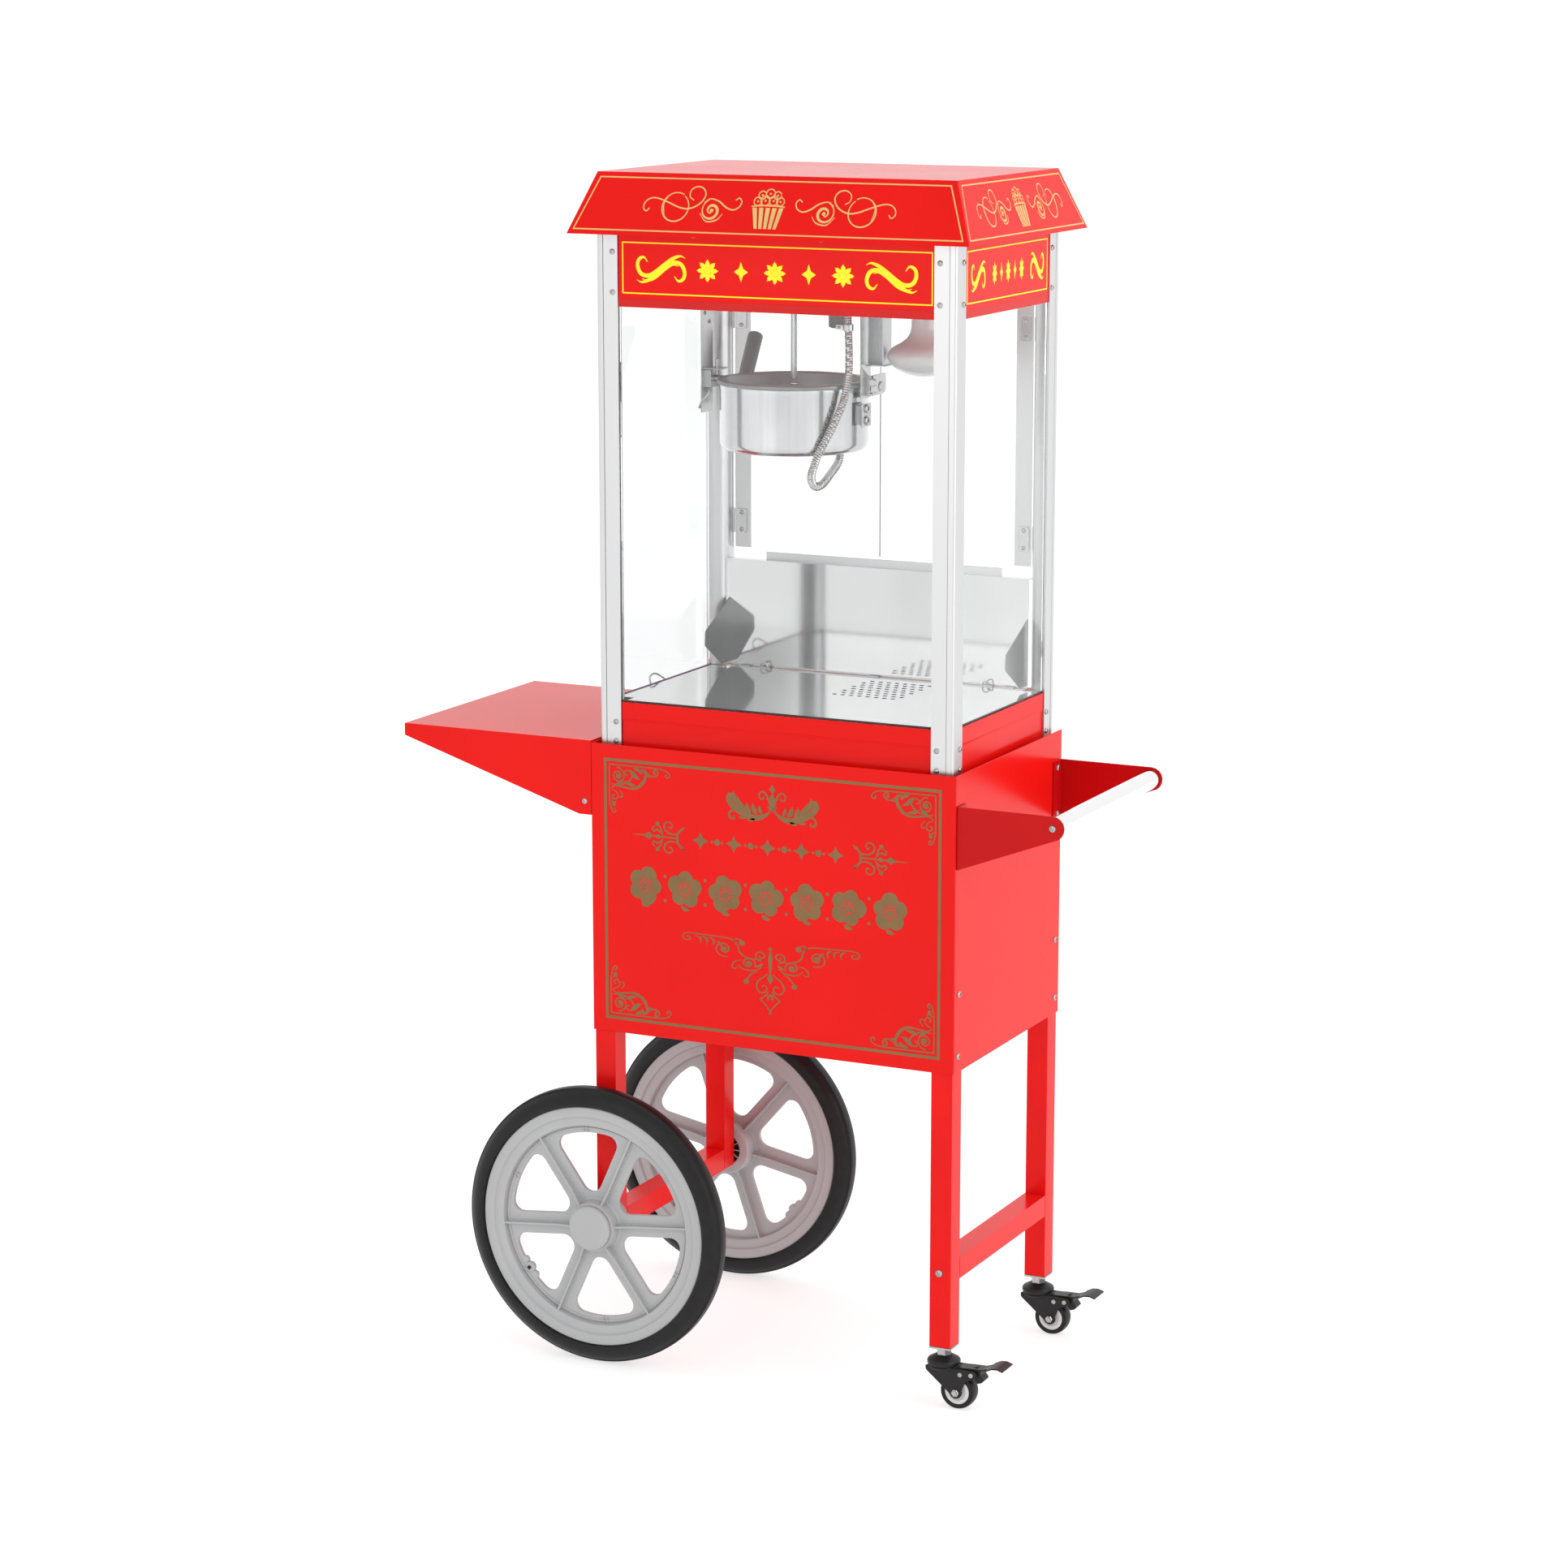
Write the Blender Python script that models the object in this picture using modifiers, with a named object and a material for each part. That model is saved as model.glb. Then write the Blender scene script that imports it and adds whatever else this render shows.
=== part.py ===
"""Popcorn cart: a two-wheeled vending cart with a glazed popcorn machine on top.

Metres, +Z up. +X points to the push handle, -Y to the customer's side. The working
sections below use x = 0 at the middle of the cart body; everything is moved by BODY_X
at the end so that the origin lies under the middle of the whole object.
"""
import math

import bmesh
import bpy
from mathutils import Matrix, Vector

# ---------------------------------------------------------------- driving dimensions
BODY_W = 0.511            # cart body, left to right
BODY_D = 0.348            # cart body, front to back
RIM_Z = 0.823             # top edge of the cart body
DECK_Z = 0.800            # recessed deck that carries the machine
BODY_Z = 0.442            # bottom edge of the cart body
SHEET = 0.0015            # panel thickness
GAP = 0.0006              # clearance between neighbouring pieces
LEG = 0.029               # square leg tube
LEG_WALL = 0.0015
LEG_INSET = 0.0018        # leg face behind the body face
LEG_FOOT_Z = 0.081        # lower end of the two handle-side legs
BEAM_Z = 0.167            # lower face of the axle beam and of the two wheel-side legs
CROSSBAR_Z = 0.1665
SHELF_REACH = 0.279
SHELF_Z = 0.8254
SHELF_DEPTH_AT_BODY = 0.098
SHELF_EDGE = 0.016
HANDLE_REACH = 0.1275
HANDLE_Z = 0.7688
HANDLE_TIP_R = 0.0155
HANDLE_TUBE_R = 0.0125
ARM_TOP_Z = 0.7845
ARM_LOW_Z = 0.704
ARM_FLANGE = 0.026
LIP = 0.016               # folded lip round the foot of the body panels
STEP_BACK = 0.0002        # keeps two joined blocks' faces out of one plane

WHEEL_R = 0.186
WHEEL_Y = 0.200           # middle plane of each big wheel
RIM_R = 0.161
SPOKES = 6
SPOKE_HALF = 0.015
AXLE_R = 0.005

CASTER_R = 0.0235
CASTER_TRAIL = 0.022

CAB_W = 0.494             # machine over its corner posts
CAB_D = 0.3276
POST = 0.030
POST_TOP_Z = 1.4730
BASE_TOP_Z = 0.877
BASE_STEP_Z = 0.8555
FLOOR_Z = 0.878
FASCIA_LOW_Z = 1.382
CEILING_Z = 1.3935
ROOF_LOW_Z = 1.4736
ROOF_TOP_Z = 1.550
ROOF_LOW = (0.2745, 0.1918)
ROOF_TOP = (0.2455, 0.1614)

POT_X = -0.0490
PIVOT_Z = 1.280
POT_R = 0.0955
POT_BOWL_R = 0.0890
POT_FLANGE_R = 0.0985
POT_LOW_Z = 1.194
POT_RIM_Z = 1.2845
SHAFT_R = 0.0042
STIRRER_TOP_Z = 1.2780    # the stirrer tips with the pot and stays clear of the drive shaft
SHAFT_FOOT_Z = 1.2850
STIR_ARM = 0.066
STIR_HALF = 0.004
STIR_TIP = 0.003
STIR_LOW_Z = 1.2005
PIN_R = 0.0040
PIN_HOLE_R = 0.0048
BOSS_HALF = 0.011
HANGER_LEFT_X = -0.1748
HANGER_RIGHT_X = 0.0505
LAMP_X = 0.1335
FLAP_Y = 0.1450
FLAP_TOP_Z = 1.0225
DOOR_LOW_Z = 1.0360
HOLE_ROWS, HOLE_COLUMNS = 8, 8
HOLE_STEP_X, HOLE_STEP_Y = 0.0118, 0.0150
HOLE_START = (0.0070, 0.0050)
HOLE_R = 0.0034

MERGE = 0.000001          # points closer than this are one point

HALF_W = BODY_W / 2
HALF_D = BODY_D / 2
CAB_HX = CAB_W / 2
CAB_HY = CAB_D / 2
LEG_X = HALF_W - LEG_INSET - LEG / 2
LEG_Y = HALF_D - LEG_INSET - LEG / 2
BODY_X = ((HALF_W + SHELF_REACH) - (HALF_W + HANDLE_REACH + HANDLE_TIP_R)) / 2

# ---------------------------------------------------------------- clean start
for old in list(bpy.data.objects):
    bpy.data.objects.remove(old, do_unlink=True)

CART = bpy.data.collections.new("popcorn_cart")
bpy.context.scene.collection.children.link(CART)
TOOLS = bpy.data.collections.new("cutters")
bpy.context.scene.collection.children.link(TOOLS)

COLOURS = {
    "red": ((0.76, 0.01, 0.008), 0.0, 0.35),
    "grey": ((0.45, 0.45, 0.45), 0.0, 0.55),
    "rubber": ((0.02, 0.02, 0.02), 0.0, 0.8),
    "steel": ((0.62, 0.62, 0.62), 1.0, 0.25),
    "alu": ((0.75, 0.75, 0.75), 1.0, 0.45),
    "glass": ((0.85, 0.9, 0.9), 0.0, 0.05),
    "black": ((0.02, 0.02, 0.02), 0.0, 0.45),
    "white": ((0.9, 0.9, 0.9), 0.0, 0.3),
}
DONE = {}


# ---------------------------------------------------------------- building helpers
# Where a shape's own (u, v, height) directions point for each axis it can stand on.
STAND = {
    "z": Matrix(((1, 0, 0, 0), (0, 1, 0, 0), (0, 0, 1, 0), (0, 0, 0, 1))),
    "y": Matrix(((0, 1, 0, 0), (0, 0, 1, 0), (1, 0, 0, 0), (0, 0, 0, 1))),
    "x": Matrix(((0, 0, 1, 0), (1, 0, 0, 0), (0, 1, 0, 0), (0, 0, 0, 1))),
}
# An outline's (a, b, depth): pairs are (x, y) on z, (x, z) on y and (y, z) on x.
OUTLINE = {
    "z": STAND["z"],
    "y": Matrix(((1, 0, 0, 0), (0, 0, 1, 0), (0, 1, 0, 0), (0, 0, 0, 1))),
    "x": STAND["x"],
}
FIRST_POINT_AHEAD = Matrix.Rotation(math.radians(-90), 4, "Z")


def tool_from(bm):
    """A tool object that owns the given geometry, with its faces turned outwards."""
    bmesh.ops.recalc_face_normals(bm, faces=bm.faces)
    if bm.calc_volume(signed=True) < 0:
        bmesh.ops.reverse_faces(bm, faces=bm.faces)
    mesh = bpy.data.meshes.new("tool")
    bm.to_mesh(mesh)
    bm.free()
    obj = bpy.data.objects.new("tool", mesh)
    TOOLS.objects.link(obj)
    return obj


def evaluated_copy(obj):
    """Plain geometry of an object with its modifiers or curve settings; the object goes."""
    bpy.context.view_layer.update()
    graph = bpy.context.evaluated_depsgraph_get()
    mesh = bpy.data.meshes.new_from_object(obj.evaluated_get(graph))
    data = obj.data
    bpy.data.objects.remove(obj, do_unlink=True)
    if isinstance(data, bpy.types.Curve):
        bpy.data.curves.remove(data)
    bm = bmesh.new()
    bm.from_mesh(mesh)
    bpy.data.meshes.remove(mesh)
    bmesh.ops.remove_doubles(bm, verts=bm.verts, dist=MERGE)
    return bm


def frustum(low, top, z0, z1):
    """A block whose top and bottom rectangles differ: half sizes low at z0 and top at z1."""
    bm = bmesh.new()
    bmesh.ops.create_cube(bm, size=2.0)
    for vert in bm.verts:
        half, z = (top, z1) if vert.co.z > 0 else (low, z0)
        vert.co = (vert.co.x * half[0], vert.co.y * half[1], z)
    return tool_from(bm)


def box(lo, hi):
    """A rectangular block between two corners."""
    low = [min(a, b) for a, b in zip(lo, hi)]
    high = [max(a, b) for a, b in zip(lo, hi)]
    bm = bmesh.new()
    bmesh.ops.create_cube(bm, size=2.0)
    for vert in bm.verts:
        vert.co = [h if c > 0 else l for c, l, h in zip(vert.co, low, high)]
    return tool_from(bm)


def cylinders(centres, axis, radius, low, high, count=16):
    """Round bars along an axis, each from low to high as measured from its centre point."""
    bm = bmesh.new()
    for centre in centres:
        made = bmesh.ops.create_cone(bm, cap_ends=True, segments=count,
                                     radius1=radius, radius2=radius, depth=1.0)
        for vert in made["verts"]:
            vert.co.z = high if vert.co.z > 0 else low
        place = Matrix.Translation(centre) @ STAND[axis] @ FIRST_POINT_AHEAD
        bmesh.ops.transform(bm, matrix=place, verts=made["verts"])
    return tool_from(bm)


def cylinder(centre, axis, radius, low, high, count=16):
    return cylinders([centre], axis, radius, low, high, count)


def join_cap_faces(bm):
    """Make each end of a flat outline one face instead of many triangles."""
    inside = []
    for edge in bm.edges:
        heights = {vert.co.z for face in edge.link_faces for vert in face.verts}
        if len(heights) == 1:
            inside.append(edge)
    bmesh.ops.dissolve_edges(bm, edges=inside, use_verts=False)


def prism(points, axis, low, high):
    """A flat outline pushed along an axis, from low to high."""
    curve = bpy.data.curves.new("outline", "CURVE")
    curve.dimensions = "2D"
    curve.fill_mode = "BOTH"
    curve.extrude = abs(high - low) / 2
    spline = curve.splines.new("POLY")
    spline.use_cyclic_u = True
    spline.points.add(len(points) - 1)
    for slot, (a, b) in zip(spline.points, points):
        slot.co = (a, b, 0, 1)
    flat = bpy.data.objects.new("outline", curve)
    TOOLS.objects.link(flat)
    bm = evaluated_copy(flat)
    for vert in bm.verts:
        vert.co.z = max(low, high) if vert.co.z > 0 else min(low, high)
    join_cap_faces(bm)
    bm.transform(OUTLINE[axis])
    return tool_from(bm)


def spin(profile, centre, axis, count):
    """A closed (radius, height) outline turned about an axis; radius 0 is on the axis."""
    bm = bmesh.new()
    verts = [bm.verts.new((r, 0, h)) for r, h in profile]
    for i, (r, _) in enumerate(profile):
        ahead = (i + 1) % len(profile)
        if r > 0 or profile[ahead][0] > 0:
            bm.edges.new((verts[i], verts[ahead]))
    obj = tool_from(bm)
    screw = obj.modifiers.new("turn", "SCREW")
    screw.steps = screw.render_steps = count
    screw.use_merge_vertices = True
    screw.merge_threshold = MERGE
    bm = evaluated_copy(obj)
    bm.transform(Matrix.Translation(centre) @ STAND[axis])
    return tool_from(bm)


def swept_tube(points, radius):
    """A round bar along a path, with flat capped ends."""
    curve = bpy.data.curves.new("path", "CURVE")
    curve.dimensions = "3D"
    curve.bevel_depth = radius
    curve.bevel_resolution = 2
    curve.use_fill_caps = True
    spline = curve.splines.new("POLY")
    spline.points.add(len(points) - 1)
    for slot, point in zip(spline.points, points):
        slot.co = (*point, 1)
    path = bpy.data.objects.new("path", curve)
    TOOLS.objects.link(path)
    return tool_from(evaluated_copy(path))


def combine(base, tool, operation):
    """Join a tool to a piece, or cut it away, and keep the result as plain geometry."""
    step = base.modifiers.new("step", "BOOLEAN")
    step.operation = operation
    step.solver = "EXACT"
    step.object = tool
    bpy.context.view_layer.update()
    graph = bpy.context.evaluated_depsgraph_get()
    result = bpy.data.meshes.new_from_object(base.evaluated_get(graph))
    base.modifiers.clear()
    base.data = result
    bpy.data.objects.remove(tool, do_unlink=True)
    return base


def add(base, *tools):
    for tool in tools:
        combine(base, tool, "UNION")
    return base


def cut(base, *tools):
    for tool in tools:
        combine(base, tool, "DIFFERENCE")
    return base


def tube(lo, hi, wall, axis):
    """A square tube, open at both ends along one axis."""
    outer = box(lo, hi)
    grow = {"x": (-0.01, wall, wall), "y": (wall, -0.01, wall), "z": (wall, wall, -0.01)}[axis]
    inner = box([a + g for a, g in zip(lo, grow)], [b - g for b, g in zip(hi, grow)])
    return cut(outer, inner)


def notched(hx, hy, nx, ny):
    """A rectangle outline with its four corners cut back to (nx, ny)."""
    return [(-nx, -hy), (nx, -hy), (nx, -ny), (hx, -ny), (hx, ny), (nx, ny),
            (nx, hy), (-nx, hy), (-nx, ny), (-hx, ny), (-hx, -ny), (-nx, -ny)]


def finish(name, obj, look, pivot=None):
    """Name a piece, colour it, and put its origin on the axis it turns or slides on."""
    obj.name = name
    obj.data.name = name
    rgb, metallic, roughness = COLOURS[look]
    mat = bpy.data.materials.new(name + "_finish")
    mat.use_nodes = True
    shader = mat.node_tree.nodes["Principled BSDF"]
    shader.inputs["Base Color"].default_value = (*rgb, 1.0)
    shader.inputs["Metallic"].default_value = metallic
    shader.inputs["Roughness"].default_value = roughness
    mat.diffuse_color = (*rgb, 1.0)
    obj.data.materials.clear()
    obj.data.materials.append(mat)
    shift = Vector((BODY_X, 0, 0))
    if pivot is None:
        obj.data.transform(Matrix.Translation(shift))
    else:
        obj.data.transform(Matrix.Translation(-Vector(pivot)))
        obj.location = Vector(pivot) + shift
    TOOLS.objects.unlink(obj)
    CART.objects.link(obj)
    DONE[name] = obj
    return obj


# ---------------------------------------------------------------- cart body
side_y0 = -HALF_D + SHEET + GAP
between_legs_x = HALF_W - LEG_INSET - LEG - GAP
between_legs_y = HALF_D - LEG_INSET - LEG - GAP

front = box((-HALF_W, -HALF_D, BODY_Z), (HALF_W, -HALF_D + SHEET, RIM_Z))
add(front, box((-between_legs_x, -HALF_D, BODY_Z), (between_legs_x, -HALF_D + LIP, BODY_Z + SHEET)))
finish("cart_front_panel", front, "red")

for side, label in ((-1, "left"), (1, "right")):
    panel = box((side * HALF_W, side_y0, BODY_Z), (side * (HALF_W - SHEET), HALF_D, RIM_Z))
    lip = box((side * HALF_W, -between_legs_y, BODY_Z),
              (side * (HALF_W - LIP), between_legs_y, BODY_Z + SHEET))
    add(panel, lip)
    finish("cart_" + label + "_panel", panel, "red")

inner_x = HALF_W - SHEET - GAP
rear = box((-inner_x, HALF_D - SHEET, BODY_Z), (inner_x, HALF_D, DECK_Z))
cut(rear, box((-0.2000, HALF_D - 0.02, 0.4740), (0.2000, HALF_D + 0.02, 0.7660)))
finish("cart_rear_frame", rear, "red")

floor_z = BODY_Z + SHEET + GAP
cabinet_shape = notched(inner_x, HALF_D - SHEET - GAP, between_legs_x, between_legs_y)
cabinet = prism(cabinet_shape, "z", floor_z, floor_z + SHEET)
finish("cabinet_floor", cabinet, "red")

deck_y = HALF_D - SHEET - GAP
finish("cart_deck", box((-inner_x, -deck_y, DECK_Z - SHEET), (inner_x, deck_y, DECK_Z)), "red")

leg_top = DECK_Z - SHEET - GAP
for sx, x_label, foot in ((-1, "left", BEAM_Z), (1, "right", LEG_FOOT_Z)):
    for sy, y_label in ((-1, "front"), (1, "rear")):
        lo = (sx * LEG_X - LEG / 2, sy * LEG_Y - LEG / 2, foot)
        hi = (sx * LEG_X + LEG / 2, sy * LEG_Y + LEG / 2, leg_top)
        leg = tube(lo, hi, LEG_WALL, "z")
        if sx < 0:
            cut(leg, cylinder((-LEG_X, sy * LEG_Y, WHEEL_R), "y", AXLE_R + 0.0007, -0.02, 0.02, 12))
        finish("leg_" + y_label + "_" + x_label, leg, "red")

finish("axle_beam", tube((-LEG_X - LEG / 2, -between_legs_y, BEAM_Z),
                         (-LEG_X + LEG / 2, between_legs_y, BEAM_Z + LEG), LEG_WALL, "y"), "red")
finish("leg_crossbar", tube((LEG_X - LEG / 2, -between_legs_y, CROSSBAR_Z),
                            (LEG_X + LEG / 2, between_legs_y, CROSSBAR_Z + LEG), LEG_WALL, "y"), "red")

# ---------------------------------------------------------------- side shelf: folded sheet, open below
shelf_in = -HALF_W - GAP
shelf_out = -HALF_W - SHELF_REACH
low_z = SHELF_Z - SHELF_DEPTH_AT_BODY
shelf_shape = [(shelf_out, SHELF_Z), (shelf_in, SHELF_Z), (shelf_in, low_z), (shelf_in - 0.018, low_z),
               (shelf_out, SHELF_Z - SHELF_EDGE)]
shelf = prism(shelf_shape, "y", -HALF_D, HALF_D)
hollow_shape = [(shelf_out + SHEET, SHELF_Z - SHEET), (shelf_in - SHEET, SHELF_Z - SHEET),
                (shelf_in - SHEET, low_z - 0.05), (shelf_out + SHEET, low_z - 0.05)]
cut(shelf, prism(hollow_shape, "y", -HALF_D + SHEET, HALF_D - SHEET))
finish("side_shelf", shelf, "red")

# ---------------------------------------------------------------- push handle
arm_x = HALF_W + GAP
tip_x = HALF_W + HANDLE_REACH
arc = []
for step in range(9):
    angle = math.radians(90 - 22.5 * step * 0.95)
    arc.append((tip_x + HANDLE_TIP_R * math.cos(angle), HANDLE_Z + HANDLE_TIP_R * math.sin(angle)))
arm_shape = [(arm_x, ARM_TOP_Z)] + arc + [(arm_x, ARM_LOW_Z)]
arm_y = HALF_D - 0.004
for sy, label in ((-1, "front"), (1, "rear")):
    arm = prism(arm_shape, "y", sy * arm_y, sy * (arm_y - SHEET))
    flange = box((arm_x, sy * (arm_y - STEP_BACK), ARM_LOW_Z + STEP_BACK),
                 (arm_x + SHEET, sy * (arm_y - ARM_FLANGE), ARM_TOP_Z - STEP_BACK))
    add(arm, flange)
    finish("handle_arm_" + label, arm, "red")
grip_y = arm_y - SHEET - GAP
grip = spin([(HANDLE_TUBE_R - 0.0015, -grip_y), (HANDLE_TUBE_R, -grip_y),
             (HANDLE_TUBE_R, grip_y), (HANDLE_TUBE_R - 0.0015, grip_y)], (tip_x, 0, HANDLE_Z), "y", 24)
finish("handle_tube", grip, "steel")

# ---------------------------------------------------------------- storage door
door_y = HALF_D + 0.0008
store = box((-0.2060, door_y, 0.4690), (0.2060, door_y + SHEET, 0.7710))
hem = box((-0.1970, door_y - 0.010, 0.4780), (0.1970, door_y + 0.0005, 0.7620))
cut(hem, box((-0.1955, door_y - 0.02, 0.4795), (0.1955, door_y - 0.0002, 0.7605)))
add(store, hem)
pull = box((0.1680, door_y + 0.0010, 0.5700), (0.1780, door_y + 0.0220, 0.6700))
cut(pull, box((0.1600, door_y + 0.0015, 0.5780), (0.1860, door_y + 0.0160, 0.6620)))
add(store, pull)
finish("cabinet_door", store, "red", (-0.2060, door_y + SHEET, 0.62))

# ---------------------------------------------------------------- big wheels
axle = cylinder((-LEG_X, 0, WHEEL_R), "y", AXLE_R, -(WHEEL_Y + 0.0185), WHEEL_Y + 0.0185, 16)
finish("wheel_axle", axle, "steel")

wheel_profile = [(0.0056, -0.0255), (0.0215, -0.0255), (0.0235, -0.0180), (0.0300, -0.0180),
                 (0.0325, -0.0030), (0.1340, -0.0030), (0.1365, -0.0100), (0.1470, -0.0110),
                 (0.1480, -0.0140), (RIM_R, -0.0140), (RIM_R, -0.0112), (0.1530, -0.0102),
                 (0.1530, 0.0102), (RIM_R, 0.0112), (RIM_R, 0.0140), (0.1480, 0.0140),
                 (0.1470, 0.0110), (0.1365, 0.0100), (0.1340, 0.0030), (0.0325, 0.0030),
                 (0.0300, 0.0195), (0.0056, 0.0195)]
tyre_profile = [(0.1537, -0.0092), (0.1610, -0.0103), (0.1622, -0.0170), (0.1670, -0.0192), (0.1760, -0.0178),
                (0.1828, -0.0120), (WHEEL_R, -0.0045), (WHEEL_R, 0.0045), (0.1828, 0.0120), (0.1760, 0.0178),
                (0.1670, 0.0192), (0.1622, 0.0170), (0.1610, 0.0103), (0.1537, 0.0092)]


def window(phase, out_r=0.124, inner_r=0.016, outer_r=0.012):
    """One rounded opening between two spokes, as an outline in the wheel's plane."""
    half = math.pi / SPOKES
    pts = []
    reach = (SPOKE_HALF + inner_r) / math.sin(half)
    for i in range(5):
        a = phase + math.pi / 2 + half + (math.pi - 2 * half) * i / 4
        pts.append((reach * math.cos(phase) + inner_r * math.cos(a),
                    reach * math.sin(phase) + inner_r * math.sin(a)))
    lean = math.asin((SPOKE_HALF + outer_r) / (out_r - outer_r))
    for sign in (-1, 1):
        centre = phase + sign * (half - lean)
        normal = phase + sign * (half + math.pi / 2)
        run = []
        for i in range(4):
            a = normal + (centre - normal) * i / 3
            run.append(((out_r - outer_r) * math.cos(centre) + outer_r * math.cos(a),
                        (out_r - outer_r) * math.sin(centre) + outer_r * math.sin(a)))
        if sign > 0:
            run.reverse()
        pts += run
        if sign < 0:
            for i in range(1, 4):
                a = centre + (half - lean) * 2 * i / 4
                pts.append((out_r * math.cos(a), out_r * math.sin(a)))
    return pts


for sy, label, phase in ((-1, "front", math.radians(6)), (1, "rear", math.radians(-11))):
    hub = (-LEG_X, sy * WHEEL_Y, WHEEL_R)
    wheel = spin([(r, sy * t) for r, t in wheel_profile], hub, "y", 40)
    for k in range(SPOKES):
        mid = phase + (2 * k + 1) * math.pi / SPOKES
        outline = [(hub[0] + a, hub[2] + b) for a, b in window(mid)]
        cut(wheel, prism(outline, "y", hub[1] - 0.02, hub[1] + 0.02))
    for k in range(SPOKES):
        a = phase + 2 * k * math.pi / SPOKES
        along, across = (math.cos(a), math.sin(a)), (-math.sin(a), math.cos(a))
        outline = []
        for r, w in ((0.024, -0.0015), (0.136, -0.0015), (0.136, 0.0015), (0.024, 0.0015)):
            outline.append((hub[0] + r * along[0] + w * across[0], hub[2] + r * along[1] + w * across[1]))
        add(wheel, prism(outline, "y", hub[1] - 0.0094, hub[1] + 0.0094))
    finish("wheel_" + label, wheel, "grey", hub)
    tyre = spin(tyre_profile, hub, "y", 40)
    finish("tyre_" + label, tyre, "rubber", hub)
    cap = spin([(0, sy * 0.0200), (0.0290, sy * 0.0200), (0.0290, sy * 0.0222), (0.0270, sy * 0.0238),
                (0, sy * 0.0245)], hub, "y", 28)
    finish("hub_cap_" + label, cap, "grey", hub)

# ---------------------------------------------------------------- swivel casters with brake pedals
for sy, label in ((-1, "front"), (1, "rear")):
    cx, cy = LEG_X, sy * LEG_Y
    stem = spin([(0, 0.0560), (0.0205, 0.0560), (0.0205, 0.0630), (0.0100, 0.0688), (0.0050, 0.0688),
                 (0.0050, 0.0900), (0, 0.0900)], (cx, cy, 0), "z", 20)
    nut = cylinder((cx, cy, 0), "z", 0.0095, 0.0680, 0.0775, 6)
    plate = box((cx - 0.0143, cy - 0.0143, 0.0786), (cx + 0.0143, cy + 0.0143, 0.0804))
    plug = box((cx - 0.0124, cy - 0.0124, 0.0800), (cx + 0.0124, cy + 0.0124, 0.0980))
    add(stem, nut, plate, plug)
    finish("caster_stem_" + label, stem, "steel", (cx, cy, 0.056))

    ax = cx + CASTER_TRAIL
    side_shape = [(-0.0195, 0.0550), (0.0460, 0.0550), (0.0480, 0.0450), (0.0330, 0.0300), (0.0290, 0.0165),
                  (0.0150, 0.0165), (0.0000, 0.0300), (-0.0195, 0.0470)]
    outline = [(cx + a, b) for a, b in side_shape]
    fork = cylinder((cx, cy, 0), "z", 0.0195, 0.0505, 0.0552, 20)
    add(fork, prism(outline, "y", cy - 0.0133, cy - 0.0108), prism(outline, "y", cy + 0.0108, cy + 0.0133))
    add(fork, cylinder((ax, cy, CASTER_R), "y", 0.0032, -0.0165, 0.0165, 8))
    finish("caster_fork_" + label, fork, "black", (cx, cy, 0.052))

    roller = spin([(0.0038, -0.0095), (0.0215, -0.0095), (CASTER_R, -0.0070), (CASTER_R, 0.0070),
                   (0.0215, 0.0095), (0.0038, 0.0095)], (ax, cy, CASTER_R), "y", 32)
    finish("caster_wheel_" + label, roller, "rubber", (ax, cy, CASTER_R))

    lever_shape = [(0.0225, 0.0505), (0.0440, 0.0490), (0.0470, 0.0360), (0.0520, 0.0360), (0.0530, 0.0530),
                   (0.0620, 0.0590), (0.0880, 0.0625), (0.0885, 0.0660), (0.0620, 0.0650), (0.0225, 0.0585)]
    lever = prism([(cx + a, b) for a, b in lever_shape], "y", cy - 0.0100, cy + 0.0100)
    tread_shape = [(0.0600, 0.0600), (0.0875, 0.0630), (0.0880, 0.0655), (0.0600, 0.0640)]
    add(lever, prism([(cx + a, b) for a, b in tread_shape], "y", cy - 0.0145, cy + 0.0145))
    finish("caster_brake_" + label, lever, "black", (cx + 0.0300, cy, 0.0485))

# ---------------------------------------------------------------- machine: posts, base, floor, drawer
for sx, x_label in ((-1, "left"), (1, "right")):
    for sy, y_label in ((-1, "front"), (1, "rear")):
        xo, yo = sx * CAB_HX, sy * CAB_HY
        xi, yi = sx * (CAB_HX - POST), sy * (CAB_HY - POST)
        bx, by = sx * 0.002, sy * 0.002
        rx, ry = sx * 0.006, sy * 0.006
        outline = [(xo - bx, yo), (xo, yo - by), (xo, yi), (xi + rx, yi), (xi, yi + ry), (xi, yo)]
        post = prism(outline, "z", DECK_Z + 0.0005, POST_TOP_Z)
        finish("post_" + y_label + "_" + x_label, post, "alu")

px, py = CAB_HX - POST - GAP, CAB_HY - POST - GAP


def wall_ring(face_x, face_y, low, high, sides):
    """Upright sheets between the corner posts, on the chosen sides."""
    made = []
    for side in sides:
        if side in ("front", "rear"):
            s = -1 if side == "front" else 1
            made.append(box((-px, s * face_y, low), (px, s * (face_y - SHEET), high)))
        else:
            s = -1 if side == "left" else 1
            made.append(box((s * face_x, -py, low), (s * (face_x - SHEET), py, high)))
    return made


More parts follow.
